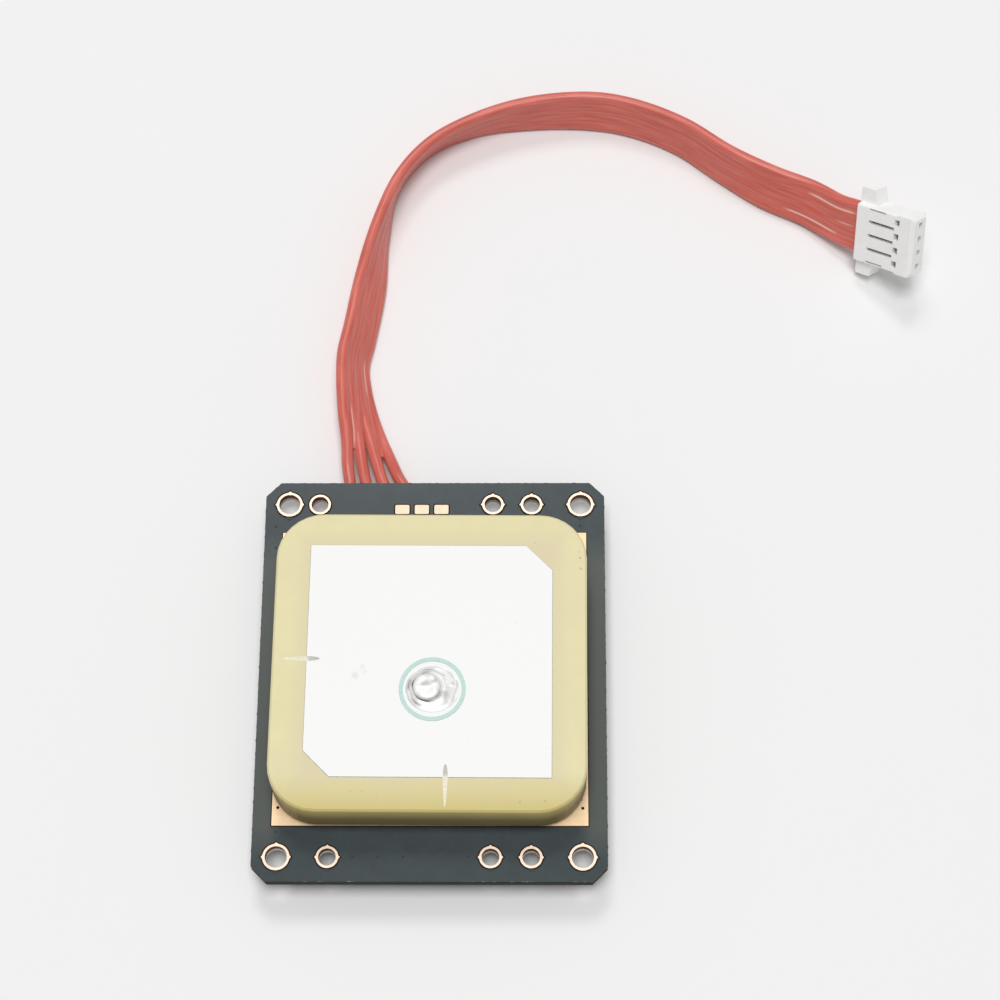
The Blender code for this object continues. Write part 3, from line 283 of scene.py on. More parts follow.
def new_material(name, colour, roughness, metallic=0.0):
    """A Principled material of a linear colour, and its shader node."""
    made = bpy.data.materials.new(name)
    made.use_nodes = True
    shader = made.node_tree.nodes["Principled BSDF"]
    shader.inputs["Base Color"].default_value = (*colour, 1)
    shader.inputs["Roughness"].default_value = roughness
    shader.inputs["Metallic"].default_value = metallic
    made.diffuse_color = (*colour, 1)
    return made, shader


def add(owner, kind, values=None, **settings):
    """A new node in a material or a node group, with its settings and its inputs' values."""
    tree = owner.node_tree if hasattr(owner, "node_tree") else owner
    made = tree.nodes.new(kind)
    for label, value in settings.items():
        setattr(made, label, value)
    for label, value in (values or {}).items():
        made.inputs[label].default_value = value
    return made


def join(owner, source, output, target, entry):
    """Links one node's output to another's input."""
    tree = owner.node_tree if hasattr(owner, "node_tree") else owner
    tree.links.new(source.outputs[output], target.inputs[entry])


def worked_out(owner, operation, *entries, kind="ShaderNodeMath"):
    """A math node on its entries, each a plain value or a (node, output)."""
    made = add(owner, kind, operation=operation)
    for place, value in enumerate(entries):
        if isinstance(value, tuple):
            join(owner, *value, made, place)
        else:
            made.inputs[place].default_value = value
    return made


def graded(owner, source, output, low, high, first=0.0, last=1.0):
    """A value that runs from `first` to `last` while a node's output goes from low to high."""
    made = add(owner, "ShaderNodeMapRange",
               {"From Min": low, "From Max": high, "To Min": first, "To Max": last})
    join(owner, source, output, made, "Value")
    return made


def two_tone(owner, source, output, low, high, first, second):
    """A colour that runs from `first` to `second` while a node's output goes from low to high."""
    made = add(owner, "ShaderNodeValToRGB")
    stops = made.color_ramp.elements
    stops[0].position, stops[1].position = low, high
    stops[0].color, stops[1].color = (*first, 1), (*second, 1)
    join(owner, source, output, made, "Fac")
    return made


def new_group(name, inputs, outputs):
    """A shader node group with named sockets, and its two end nodes."""
    group = bpy.data.node_groups.new(name, "ShaderNodeTree")
    for label, kind, value in inputs:
        group.interface.new_socket(label, in_out="INPUT", socket_type=kind).default_value = value
    for label, kind in outputs:
        group.interface.new_socket(label, in_out="OUTPUT", socket_type=kind)
    return group, add(group, "NodeGroupInput"), add(group, "NodeGroupOutput")


def mixed(owner, first, second, factor, output):
    """A colour mix of two colours or (node, output), by a factor from a node's output."""
    made = add(owner, "ShaderNodeMix", data_type="RGBA")
    for entry, value in ((6, first), (7, second)):
        if isinstance(value[0], float):
            made.inputs[entry].default_value = (*value, 1)
        else:
            join(owner, *value, made, entry)
    join(owner, factor, output, made, 0)
    return made


def fine_grain():
    """The small unevenness of a moulded or plated skin: a tone from noise, and its bump."""
    group, start, end = new_group(
        "fine grain", [("Size", "NodeSocketFloat", 0.0004), ("Height", "NodeSocketFloat", 0.00002)],
        [("Tone", "NodeSocketFloat"), ("Normal", "NodeSocketVector")])
    place = add(group, "ShaderNodeTexCoord")
    scale = worked_out(group, "DIVIDE", 1.0, (start, "Size"))
    noise = add(group, "ShaderNodeTexNoise", {"Detail": 4.0, "Roughness": 0.6})
    bump = add(group, "ShaderNodeBump", {"Strength": 0.6})
    join(group, place, "Object", noise, "Vector")
    join(group, scale, 0, noise, "Scale")
    join(group, noise, "Fac", bump, "Height")
    join(group, start, "Height", bump, "Distance")
    join(group, noise, "Fac", end, "Tone")
    join(group, bump, "Normal", end, "Normal")
    return group


grain = fine_grain()


def grained(material, shader, size, height, dark=0.85, bright=1.06, rough=(0.35, 0.5)):
    """Puts the fine grain on a material: its colour varies between two shares of itself."""
    colour = tuple(shader.inputs["Base Color"].default_value)[:3]
    effect = add(material, "ShaderNodeGroup", {"Size": size, "Height": height}, node_tree=grain)
    ramp = two_tone(material, effect, "Tone", 0.3, 0.7, [min(c * dark, 1) for c in colour],
                    [min(c * bright, 1) for c in colour])
    gloss = graded(material, effect, "Tone", 0.0, 1.0, *rough)
    join(material, ramp, "Color", shader, "Base Color")
    join(material, gloss, "Result", shader, "Roughness")
    join(material, effect, "Normal", shader, "Normal")
    return ramp


def insulation_skin():
    """Soft red insulation: drawn out lengthwise, so its tone and its bump run along the wire. Along
    the ridges of the streaks it is painted pale pink, as a painted highlight.
    """
    made, shader = new_material("red insulation", (0.64, 0.138, 0.105), 0.36)
    place = add(made, "ShaderNodeCombineXYZ")
    for entry, label, size in (("X", "along", 260.0), ("Y", "across", 4.2)):
        read = add(made, "ShaderNodeAttribute", attribute_name=label)
        join(made, worked_out(made, "MULTIPLY", (read, "Fac"), size), 0, place, entry)
    streaky = add(made, "ShaderNodeTexNoise", {"Scale": 1.0, "Detail": 2.0, "Roughness": 0.5})
    join(made, place, "Vector", streaky, "Vector")
    ramp = two_tone(made, streaky, "Fac", 0.30, 0.72, (0.56, 0.108, 0.078), (0.74, 0.185, 0.145))
    # Painted highlight: pale pink along the ridges of the streaks.
    painted_highlight = add(made, "ShaderNodeAttribute", attribute_name="painted_highlight")
    colour = mixed(made, (ramp, "Color"), (0.92, 0.62, 0.54), painted_highlight, "Fac")
    join(made, colour, 2, shader, "Base Color")
    bump = add(made, "ShaderNodeBump", {"Strength": 0.3, "Distance": 0.00003})
    join(made, streaky, "Fac", bump, "Height")
    join(made, bump, "Normal", shader, "Normal")
    join(made, graded(made, streaky, "Fac", 0.0, 1.0, 0.26, 0.44), "Result", shader, "Roughness")
    shader.inputs["Subsurface Weight"].default_value = 0.15
    shader.inputs["Subsurface Radius"].default_value = (0.0006, 0.0002, 0.0001)
    shader.inputs["Subsurface Scale"].default_value = 1.0
    return made


insulation = insulation_skin()
lead = [wire_tube(number) for number in range(4)]
webs = [
    web_strip(0, 0.0068, [(0.0070, 0.0112, 0.7), (-0.0066, -0.0013, 1.0)]),
    web_strip(1, 0.0088, [(-0.0036, -0.0013, 0.5)]),
    web_strip(2, 0.0068, [(0.0128, 0.0166, 0.7), (-0.0088, -0.0032, 1.0)]),
]
for piece in lead + webs:
    fitted(piece, insulation)


def lance_tongue(number):
    """The contact's locking tongue in its window: a bent strip that rises to the nose."""
    x = np.array([0.00380, 0.00402, 0.00436])
    z = np.array([0.00150, 0.00156, 0.00186])
    half, sheet = 0.00018, 0.00008
    y = (1.5 - number) * contact_pitch
    row = [(x, y - half, z), (x, y + half, z),
           (x, y + half, z + sheet), (x, y - half, z + sheet)]
    grid = np.stack([np.stack(np.broadcast_arrays(*corner), axis=1) for corner in row], axis=1)
    return grid_mesh(f"lance_tongue_{number + 1}", in_plug(grid))


contact_metal, shader = new_material("tinned bronze", (0.42, 0.40, 0.37), 0.38, 0.9)
grained(contact_metal, shader, 0.0002, 0.000006, 0.8, 1.15, (0.3, 0.45))
tongues = [fitted(lance_tongue(number), contact_metal) for number in range(4)]
for number, piece in enumerate(lead):
    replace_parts(piece, f"lead_wire_{number + 1}")
    contact = node[f"plug_contact_{number + 1}"]
    contact.data.materials.clear()
    contact.data.materials.append(contact_metal)
    carried = [contact, tongues[number]]
    if number == 0:
        carried += [node["plug_housing"], *webs]


# Circuit board: glass cloth in epoxy under a dark solder mask, routed to its outline. The
# router leaves a slightly ragged edge, and small vias show through the mask as dark dots.
board_half = np.array([0.0140, 0.0170])
board_cut = 0.0012
board_low, board_top = 0.00242, 0.00342


def bare(name):
    """A solid's material slots, emptied for a new material."""
    slots = node[name].data.materials
    slots.clear()
    return slots


def object_axes(material):
    """The separate x, y and z of the Object coordinates."""
    place = add(material, "ShaderNodeTexCoord")
    axes = add(material, "ShaderNodeSeparateXYZ")
    join(material, place, "Object", axes, "Vector")
    return axes


def between(material, source, output, low, high, soft):
    """A mask that is 1 where a value lies from low to high, with soft ends outside them."""
    rise = graded(material, source, output, low - soft, low)
    fall = graded(material, source, output, high, high + soft, 1.0, 0.0)
    return worked_out(material, "MULTIPLY", (rise, "Result"), (fall, "Result"))


def board_skin():
    """The mask's satin green-black, and on the sides the layers of glass cloth and epoxy, near
    black: partly their own dark colour, partly painted shade.

    Along the two long sides the mask is painted paler, as painted light.
    """
    made, shader = new_material("dark solder mask", (0.018, 0.033, 0.038), 0.28)
    tone = grained(made, shader, 0.0014, 0.000002, 0.86, 1.16, (0.26, 0.34))
    shader.inputs["Specular IOR Level"].default_value = 0.36
    axes = object_axes(made)
    side = between(made, axes, "Z", board_low + 0.00004, board_top - 0.00004, 0.00001)
    wave = add(made, "ShaderNodeTexWave", bands_direction="Z", values={
        "Scale": 900.0, "Distortion": 3.0, "Detail": 2.0, "Detail Scale": 6.0})
    place = add(made, "ShaderNodeTexCoord")
    join(made, place, "Object", wave, "Vector")
    # Near black on the sides: partly the laminate's own dark colour, partly painted shade.
    layers = two_tone(made, wave, "Fac", 0.0, 1.0, (0.008, 0.010, 0.010), (0.030, 0.032, 0.027))
    # Painted light: the mask is paler in strips beside the two long sides.
    from_middle = worked_out(made, "ABSOLUTE", (axes, "X"))
    beside = graded(made, from_middle, 0, 0.0117, 0.0128, 0.0, 0.9)
    lengthwise = between(made, axes, "Y", -0.0125, 0.0095, 0.003)
    painted_light_beside = worked_out(made, "MULTIPLY", (beside, "Result"), (lengthwise, 0))
    mask = mixed(made, (tone, "Color"), (0.066, 0.076, 0.068), painted_light_beside, 0)
    colour = mixed(made, (mask, 2), (layers, "Color"), side, 0)
    join(made, colour, 2, shader, "Base Color")
    join(made, graded(made, side, 0, 0.0, 1.0, 0.29, 0.85), "Result", shader, "Roughness")
    return made


solder_mask = board_skin()
bare("circuit_board").append(solder_mask)


def board_outline(step):
    """Points along the routed outline, at most `step` apart, and their outward normals."""
    x, y = board_half
    cut = board_cut
    corners = np.array([(x, y - cut), (x - cut, y), (cut - x, y), (-x, y - cut),
                        (-x, cut - y), (cut - x, -y), (x - cut, -y), (x, cut - y)])
    points, normals = [], []
    for first, last in zip(corners, np.roll(corners, -1, axis=0)):
        count = int(np.ceil(np.linalg.norm(last - first) / step))
        points.append(first + (last - first) * (np.arange(count) / count)[:, None])
        way = unit(last - first)
        normals.append(np.repeat([(way[1], -way[0])], count, axis=0))
    return np.concatenate(points), np.concatenate(normals)


def ragged(points, seed, sizes):
    """Unevenness from -1 to 1 round a closed line: sines of whole wave counts with set phases."""
    phase = np.random.default_rng(seed).uniform(0, 2 * np.pi, len(sizes))
    turn = np.linspace(0, 2 * np.pi, len(points), endpoint=False)[:, None]
    return np.sin(turn * np.array(sizes)[None] + phase[None]).sum(axis=1) / len(sizes) ** 0.5


def routed_edge():
    """The burr along the board's top edge: a thread of five sides whose width wanders.

    The width also swells as a bell curve at one small chip in the front edge.
    """
    points, normals = board_outline(0.00016)
    width = 0.000016 + 0.00003 * np.clip(ragged(points, 4, (97, 151, 213, 331)) - 0.25, 0, None)
    from_chip = np.linalg.norm(points - np.array([-0.00077, -0.0170]), axis=1)
    width += 0.00007 * np.exp(-(from_chip / 0.00012) ** 2)
    turn = np.radians([-75, -15, 45, 105, 195])
    out = width[:, None] * np.cos(turn)[None]
    up = width[:, None] * np.sin(turn)[None]
    grid = np.empty((len(points), len(turn), 3))
    grid[:, :, :2] = points[:, None] + normals[:, None] * out[:, :, None]
    grid[:, :, 2] = board_top - 0.00001 + 0.5 * up
    return grid_mesh("routed_edge", grid, joined=True)


# Pale and dark flecks along the board's top edge, from noise in the burr's colour.
pale_flecked, shader = new_material("pale flecked edge", (0.13, 0.14, 0.13), 0.6)
stops = grained(pale_flecked, shader, 0.0009, 0.00001, 0.15, 2.2, (0.5, 0.7)).color_ramp.elements
stops[0].position, stops[1].position = 0.52, 0.66
fitted(routed_edge(), pale_flecked)


def disc_bodies(name, places, radius, low, high):
    """Flat round bodies with a domed face, one for each place, in one mesh."""
    turn = np.linspace(0, 2 * np.pi, 16, endpoint=False)
    ring = np.stack([np.cos(turn), np.sin(turn)], axis=1)
    share = np.array([1.0, 1.0, 0.8, 0.35])
    height = low + (high - low) * np.array([0.0, 0.5, 0.85, 1.0])
    grid = np.empty((len(places), 4, 16, 3))
    grid[..., :2] = places[:, None, None] + radius * share[:, None, None] * ring
    grid[..., 2] = height[:, None]
    first = 64 * np.arange(len(places))[:, None]
    level, j = np.meshgrid(np.arange(3) * 16, np.arange(16), indexing="ij")
    after = (j + 1) % 16
    side = np.stack([level + j, level + after, level + 16 + after, level + 16 + j], axis=-1)
    faces = (first[:, :, None] + side.reshape(1, -1, 4)).reshape(-1, 4).tolist()
    faces += (first + np.arange(16)[::-1]).tolist() + (first + np.arange(48, 64)).tolist()
    mesh = bpy.data.meshes.new(name)
    mesh.from_pydata(grid.reshape(-1, 3).tolist(), [], faces)
    mesh.shade_smooth()
    mesh.set_sharp_from_angle(angle=math.radians(50))
    return placed(name, mesh)


tented, shader = new_material("tented via", (0.010, 0.015, 0.017), 0.6)
grained(tented, shader, 0.0002, 0.000004, 0.7, 1.3, (0.55, 0.65))
via_places = 0.001 * np.array([(-13.12, 13.06), (-13.05, 11.18), (12.0, 13.13), (-12.15, -13.01),
                               (-6.06, -15.03), (-4.06, -15.03), (-2.06, -15.03), (3.04, -15.02)])
via_radius, via_dome, via_root = 0.00011, 0.000006, 0.00001
fitted(disc_bodies("tented_vias", via_places, via_radius, board_top - via_root,
                   board_top + via_dome), tented)
fitted(disc_bodies("tented_vias_below", via_places, via_radius, board_low - via_dome,
                   board_low + via_root), tented)


# Plated holes, the antenna's land and the pads: copper under a thin gold plating. The mask
# stops a hair short of each, and the bare laminate there shows as a dark brown outline.
gold_land, shader = new_material("gold plating", (0.87, 0.64, 0.395), 0.40, 0.35)
grained(gold_land, shader, 0.0005, 0.000003, 0.93, 1.04, (0.38, 0.50))


def plating_skin():
    """Pale gold on the rings, partly a painted highlight. Inside the hole the wall is dull, painted
    pale low down as painted light and brown near the mouth as painted shade.
    """
    # The rings' gold is paler than the land's: partly its own colour, partly a painted highlight.
    made, shader = new_material("gold plating of the holes", (0.84, 0.675, 0.53), 0.30, 0.35)
    tone = grained(made, shader, 0.0003, 0.000004, 0.92, 1.05, (0.26, 0.40))
    axes = object_axes(made)
    wall = between(made, axes, "Z", 0.002375, 0.003462, 0.000008)
    # Painted light and shade inside the hole: pale low down, dark brown near the mouth.
    painted_shade_at_mouth = graded(made, axes, "Z", 0.00272, 0.00292)
    inside = mixed(made, (0.80, 0.77, 0.72), (0.20, 0.075, 0.035), painted_shade_at_mouth, "Result")
    colour = mixed(made, (tone, "Color"), (inside, 2), wall, 0)
    join(made, colour, 2, shader, "Base Color")
    for entry, ring, hole in (("Metallic", 0.35, 0.0), ("Roughness", 0.33, 0.85)):
        join(made, graded(made, wall, 0, 0.0, 1.0, ring, hole), "Result", shader, entry)
    return made


ring_gold_and_highlight = plating_skin()
for name in node:
    if "plating" in name:
        bare(name).append(ring_gold_and_highlight)
    elif name.startswith("wire_pad") or name == "antenna_land":
        bare(name).append(gold_land)

laminate, shader = new_material("bare laminate", (0.032, 0.009, 0.005), 0.8)
grained(laminate, shader, 0.0002, 0.000006, 0.6, 1.3, (0.7, 0.9))
shader.inputs["Specular IOR Level"].default_value = 0.15


def moved_out(outline, width):
    """A closed outline moved outwards by an even width.

    Each point moves along the mean of its two sides' normals, over its cosine to them.
    """
    before, after = np.roll(outline, 1, axis=0), np.roll(outline, -1, axis=0)
    first, second = unit(outline - before), unit(after - outline)
    normal_1 = np.stack([first[:, 1], -first[:, 0]], axis=1)
    normal_2 = np.stack([second[:, 1], -second[:, 0]], axis=1)
    outward = unit(normal_1 + normal_2)
    return outline + outward * width / np.sum(outward * normal_1, axis=1, keepdims=True)


def band(name, inner, outer, low, high):
    """A flat frame between two outlines of as many points."""
    rows = [np.column_stack([line, np.full(len(line), z)])
            for line, z in ((inner, low), (inner, high), (outer, high), (outer, low))]
    return grid_mesh(name, np.stack(rows), joined=True)


def round_land(centre, radius, spur):
    """A round land: 72 points on a circle that rises to a point over 8 degrees at three quarters.

    The quarter towards the board's front has no point.
    """
    turn = np.arange(72) * 2 * np.pi / 72
    off = np.degrees(np.abs((turn + np.pi / 4) % (np.pi / 2) - np.pi / 4))
    reach = radius + spur * np.clip(1 - off / 8, 0, 1) * (np.sin(turn) > -0.7)
    return np.asarray(centre) + reach[:, None] * np.stack([np.cos(turn), np.sin(turn)], axis=1)


def spurred_land(centre, radius, spur):
    """The solid ring's outline: 24 sides with a point at each quarter, as 72 points."""
    turn = np.arange(24) * 2 * np.pi / 24
    reach = np.full(24, radius)
    reach[::6] += spur
    corners = reach[:, None] * np.stack([np.cos(turn), np.sin(turn)], axis=1)
    share = np.arange(3)[None, :, None] / 3
    line = corners[:, None] * (1 - share) + np.roll(corners, -1, axis=0)[:, None] * share
    return np.asarray(centre) + line.reshape(-1, 2)


lap_top = 0.003488
root, film = 0.00001, 0.000004
wide_gap, narrow_gap = 0.0001, 0.00008
for name in node:
    if "hole_plating" in name:
        low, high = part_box(name)
        centre = (np.array(low[:2]) + np.array(high[:2])) / 2
        ring_radius, gold_radius = (0.00115, 0.00107) if "corner" in name else (0.00094, 0.00089)
        spur = max((high[0] - low[0]) / 2 - ring_radius, 0.0)
        gold = round_land(centre, gold_radius, 0.00012 if spur > 0.00005 else 0.0)
        metal = spurred_land(centre, ring_radius, spur)
        edge = moved_out(gold, wide_gap)
        fitted(band(f"laminate_line_{name}", gold, edge, board_top - root, lap_top),
               laminate)
        fitted(band(f"mask_lap_{name}", edge, moved_out(metal, 0.00004), board_top - root,
                    lap_top - film), solder_mask)
        fitted(band(f"laminate_line_below_{name}", metal, moved_out(metal, narrow_gap),
                    board_low - film, board_low + film), laminate)
land_outline = 0.0125 * np.array([(1, -1), (1, 1), (-1, 1), (-1, -1)])
fitted(band("laminate_line_land", land_outline, moved_out(land_outline, narrow_gap),
            board_top - film, board_top + film), laminate)
land_vias = 0.001 * np.array([(-12.04, -11.03), (12.07, -11.06), (11.92, -10.35)])
fitted(disc_bodies("land_vias", land_vias, 0.00013, 0.003475, 0.003484), laminate)


def soft_plate(name, outline, low, high, edge):
    """A thin plate from a closed outline: its upper edge is drawn in by `edge` and rounded."""
    middle = outline.mean(axis=0)
    rows = []
    for share, z in ((0.0, low), (0.0, high - edge), (0.35, high - 0.3 * edge), (1.0, high)):
        inward = unit(middle - outline) * edge * share
        rows.append(np.column_stack([outline + inward, np.full(len(outline), z)]))
    return grid_mesh(name, np.stack(rows), sharp=20)


def rounded_bar(centre, length, width, radius):
    """A rectangle with an arc of seven points at each corner."""
    turn = np.radians(np.linspace(0, 90, 7))
    points = []
    for quarter, (sx, sy) in enumerate(((1, 1), (-1, 1), (-1, -1), (1, -1))):
        middle = np.array([sx * (length / 2 - radius), sy * (width / 2 - radius)])
        bend = turn + quarter * np.pi / 2
        points.append(middle + radius * np.stack([np.cos(bend), np.sin(bend)], axis=1))
    return np.concatenate(points) + centre


# The test pads' gold is paler than the land's: partly its own colour, partly a painted highlight.
pad_gold_and_highlight, shader = new_material("gold plating of the test pads", (0.84, 0.69, 0.50), 0.45, 0.25)
grained(pad_gold_and_highlight, shader, 0.0003, 0.000003, 0.88, 1.08, (0.40, 0.52))
for number, x in enumerate((-0.00270, -0.00108, 0.00054), 1):
    bar = rounded_bar(np.array([x, 0.01462]), 0.00118, 0.00082, 0.00012)
    pad = soft_plate(f"test_pad_{number}", bar, board_top - 0.00002, board_top + 0.00003, 0.00001)
    fitted(pad, pad_gold_and_highlight)
    line = band(f"laminate_line_test_pad_{number}", bar, moved_out(bar, wide_gap),
                board_top - film, board_top + 0.000006)
    fitted(line, laminate)


# Antenna: a fired and ground block of pale yellow ceramic, taped to its land. Its faces are
# matt, a little browner by the patch, and show scratches and dark marks from handling.
ceramic_top = 0.00765


def soft_spot():
    """A mask that is 1 at a place and falls to 0 at a radius, with a wandering edge."""
    inputs = [("Place", "NodeSocketVector", (0, 0, 0)), ("Radius", "NodeSocketFloat", 0.0002)]
    group, start, end = new_group("soft spot", inputs, [("Mask", "NodeSocketFloat")])
    place = add(group, "ShaderNodeTexCoord")
    noise = add(group, "ShaderNodeTexNoise", {"Scale": 5200.0, "Detail": 2.0})
    join(group, place, "Object", noise, "Vector")
    away = worked_out(group, "DISTANCE", (place, "Object"), (start, "Place"),
                      kind="ShaderNodeVectorMath")
    share = worked_out(group, "DIVIDE", (away, "Value"), (start, "Radius"))
    wander = worked_out(group, "MULTIPLY", (noise, "Fac"), 1.3)
    total = worked_out(group, "ADD", (share, 0), (wander, 0))
    join(group, graded(group, total, 0, 1.55, 0.75), "Result", end, "Mask")
    return group


spot = soft_spot()


def spotted(material, places):
    """The strongest of several soft spots, each at (x, y, z) with its radius and strength."""
    strongest = None
    for x, y, z, radius, strength in places:
        values = {"Place": (x, y, z), "Radius": radius}
        one = add(material, "ShaderNodeGroup", values, node_tree=spot)
        mask = worked_out(material, "MULTIPLY", (one, "Mask"), strength)
        if strongest:
            mask = worked_out(material, "MAXIMUM", (strongest, 0), (mask, 0))
        strongest = mask
    return strongest


def off_middle(material, axes):
    """The larger of the two distances from the middle, along x and along y."""
    sizes = [(worked_out(material, "ABSOLUTE", (axes, axis)), 0) for axis in ("X", "Y")]
    return worked_out(material, "MAXIMUM", *sizes)


def ceramic_skin():
    """Pale yellow away from the patch and browner by it, deeper along the front, with marks. The
    front face and the lower part of each side are darkened as painted shade.
    """
    made, shader = new_material("dielectric ceramic", (0.745, 0.678, 0.388), 0.5)
    tone = grained(made, shader, 0.0030, 0.000006, 0.96, 1.02, (0.42, 0.55))
    axes = object_axes(made)
    by_patch = graded(made, off_middle(made, axes), 0, 0.0096, 0.0112, 0.75, 0.0)
    colour = mixed(made, (tone, "Color"), (0.675, 0.588, 0.375), by_patch, "Result")
    # Darker along the front; on the front face this is painted shade. Below, each side darkens
    # towards the board as painted shade.
    front = graded(made, axes, "Y", -0.0095, -0.0123, 0.0, 0.9)
    colour = mixed(made, (colour, 2), (0.590, 0.482, 0.160), front, "Result")
    painted_shade_foot = graded(made, axes, "Z", 0.0076, 0.0054, 0.0, 0.92)
    colour = mixed(made, (colour, 2), (0.200, 0.145, 0.060), painted_shade_foot, "Result")
    z = ceramic_top
    stains = spotted(made, [
        (-0.00605, -0.01096, z, 0.00011, 0.5), (-0.00512, -0.01096, z, 0.00008, 0.4),
        (-0.00402, -0.01144, z, 0.00009, 0.45), (-0.00239, -0.01144, z, 0.00008, 0.4),
        (0.00714, -0.01183, z, 0.00012, 0.6), (0.00908, -0.01175, z, 0.00012, 0.6),
        (0.0083, 0.00985, z, 0.00010, 0.55), (0.01187, 0.00910, z, 0.00013, 0.3),
        (0.01193, 0.00856, z, 0.00017, 0.5), (0.01198, 0.00764, z, 0.00018, 0.5),
        (0.01129, 0.01187, z, 0.00009, 0.4)])
    colour = mixed(made, (colour, 2), (0.17, 0.15, 0.06), stains, 0)
    join(made, colour, 2, shader, "Base Color")
    return made


bare("antenna_ceramic").append(ceramic_skin())

foam, shader = new_material("foam tape", (0.50, 0.49, 0.45), 0.75)
grained(foam, shader, 0.00025, 0.00003, 0.7, 1.15, (0.7, 0.85))
bare("adhesive_pad").append(foam)


# Patch: silver paste, printed and fired on the ceramic. Two of its sides were trimmed with
# a grinding wheel, which cut a slot with a round end and drew a pale scratch on the ceramic.
patch_low, patch_high = 0.00767, 0.00770
trim_half, trim_depth = 0.00019, 0.00105
patch_half = 0.009725
ceramic_middle = np.array([-0.00007, -0.00010])
ceramic_turn = math.radians(-0.33)


def on_ceramic(points):
    """Points from the ceramic's own centre, turned as it lies, in the world."""
    cos, sin = math.cos(ceramic_turn), math.sin(ceramic_turn)
    return ceramic_middle + np.asarray(points) @ np.array([[cos, sin], [-sin, cos]])


def silver_skin():
    """Matt white silver with small pale grey marks."""
    made, shader = new_material("fired silver", (0.845, 0.845, 0.832), 0.5, 0.08)
    tone = grained(made, shader, 0.0007, 0.000003, 0.985, 1.01, (0.45, 0.6))
    z = patch_high
    marks = spotted(made, [
        (-0.00592, -0.00145, z, 0.00042, 0.35), (-0.00536, -0.00073, z, 0.00034, 0.22),
        (-0.00516, -0.00113, z, 0.00026, 0.20), (0.00679, 0.00303, z, 0.00012, 0.5),
        (-0.0021, 0.0061, z, 0.0001, 0.15), (0.0031, -0.0068, z, 0.0001, 0.15)])
    colour = mixed(made, (tone, "Color"), (0.45, 0.45, 0.44), marks, 0)
    join(made, colour, 2, shader, "Base Color")
    return made


silver = silver_skin()
# Painted shade: a thin grey line round the patch's outline, on the ceramic.
painted_edge_shade, shader = new_material("painted shade at the patch edge", (0.36, 0.36, 0.32), 0.7)
grained(painted_edge_shade, shader, 0.0002, 0.000004, 0.6, 1.5, (0.6, 0.8))
for name in ("patch_electrode", "ground_electrode"):
    bare(name).append(silver)


def trim_frame(side):
    """A trim cut's own axes: its mouth at the patch's edge, the way in, and across."""
    if side == "left":
        return np.array([-patch_half, 0.0]), np.array([1.0, 0.0]), np.array([0.0, 1.0])
    return np.array([0.00145, -patch_half]), np.array([0.0, 1.0]), np.array([1.0, 0.0])


patch_cut = 0.0021
patch_outline = on_ceramic(np.array([
    (-patch_half, patch_cut - patch_half), (patch_cut - patch_half, -patch_half),
    (patch_half, -patch_half), (patch_half, patch_half - patch_cut),
    (patch_half - patch_cut, patch_half), (-patch_half, patch_half)]))
# The painted shade line runs just outside the patch's outline.
under_edge_shade = patch_outline - 0.00001 * np.sign(patch_outline)
fitted(band("patch_edge_shade", under_edge_shade, moved_out(patch_outline, 0.00004),
            ceramic_top - root, ceramic_top + film), painted_edge_shade)


def trim_line(mouth_half, reach, start):
    """Half-widths of a cut along its depth: a long ellipse from its mouth to its tip."""
    s = np.linspace(start, 1, 12)
    return np.stack([s * reach, mouth_half * np.sqrt(1 - s ** 2)], axis=1)


def tapered(side, length):
    """A scratch's outline from its point outside the patch to the tip of its cut.

    The half-width grows with the 0.6th power of the distance from the point, and closes in
    an ellipse beyond the patch's edge.
    """
    mouth, inward, across = trim_frame(side)
    wide, deep = trim_half * 1.05, trim_depth + 0.00003
    s = np.linspace(0, 1, 12)
    scratch = np.stack([(s - 1) * length, wide * (0.10 + 0.90 * s ** 0.6)], axis=1)
    tip = trim_line(wide, deep, 0.08)
    top = np.concatenate([scratch, tip[:-1], [(deep, 0.0)]])
    line = np.concatenate([top, top[-2::-1] * np.array([1, -1])])
    return on_ceramic(mouth + line[:, :1] * inward + line[:, 1:] * across)


def trim_skin():
    """Freshly ground ceramic: pale, and greyer inside the patch's edge towards the cut's tip, as
    painted shade in the cut.
    """
    made, shader = new_material("ground ceramic", (0.88, 0.83, 0.68), 0.6)
    tone = grained(made, shader, 0.00018, 0.00001, 0.80, 1.08, (0.5, 0.7))
    furthest = off_middle(made, object_axes(made))
    # Painted shade: greyer inside the patch's edge, in the cut.
    painted_shade_in_cut = graded(made, furthest, 0, 0.00990, 0.00950, 0.0, 0.85)
    colour = mixed(made, (tone, "Color"), (0.47, 0.465, 0.435), painted_shade_in_cut, "Result")
    join(made, colour, 2, shader, "Base Color")
    return made


def trim_lip(side, sign):
    """Silver that narrows one side of the cut to an ellipse, over the square slot below."""
    mouth, inward, across = trim_frame(side)
    curve = trim_line(trim_half, trim_depth, 0.25) * np.array([1, sign])
    far, wide = trim_depth + 0.00005, sign * (trim_half + 0.00004)
    line = np.concatenate([curve, [(far, 0.0), (far, wide), (curve[0, 0], wide)]])
    return on_ceramic(mouth + line[:, :1] * inward + line[:, 1:] * across)


def plate(name, outline, low, high):
    """A flat plate of even thickness from a closed outline."""
    rows = [np.column_stack([outline, np.full(len(outline), z)]) for z in (low, high)]
    return grid_mesh(name, np.stack(rows))


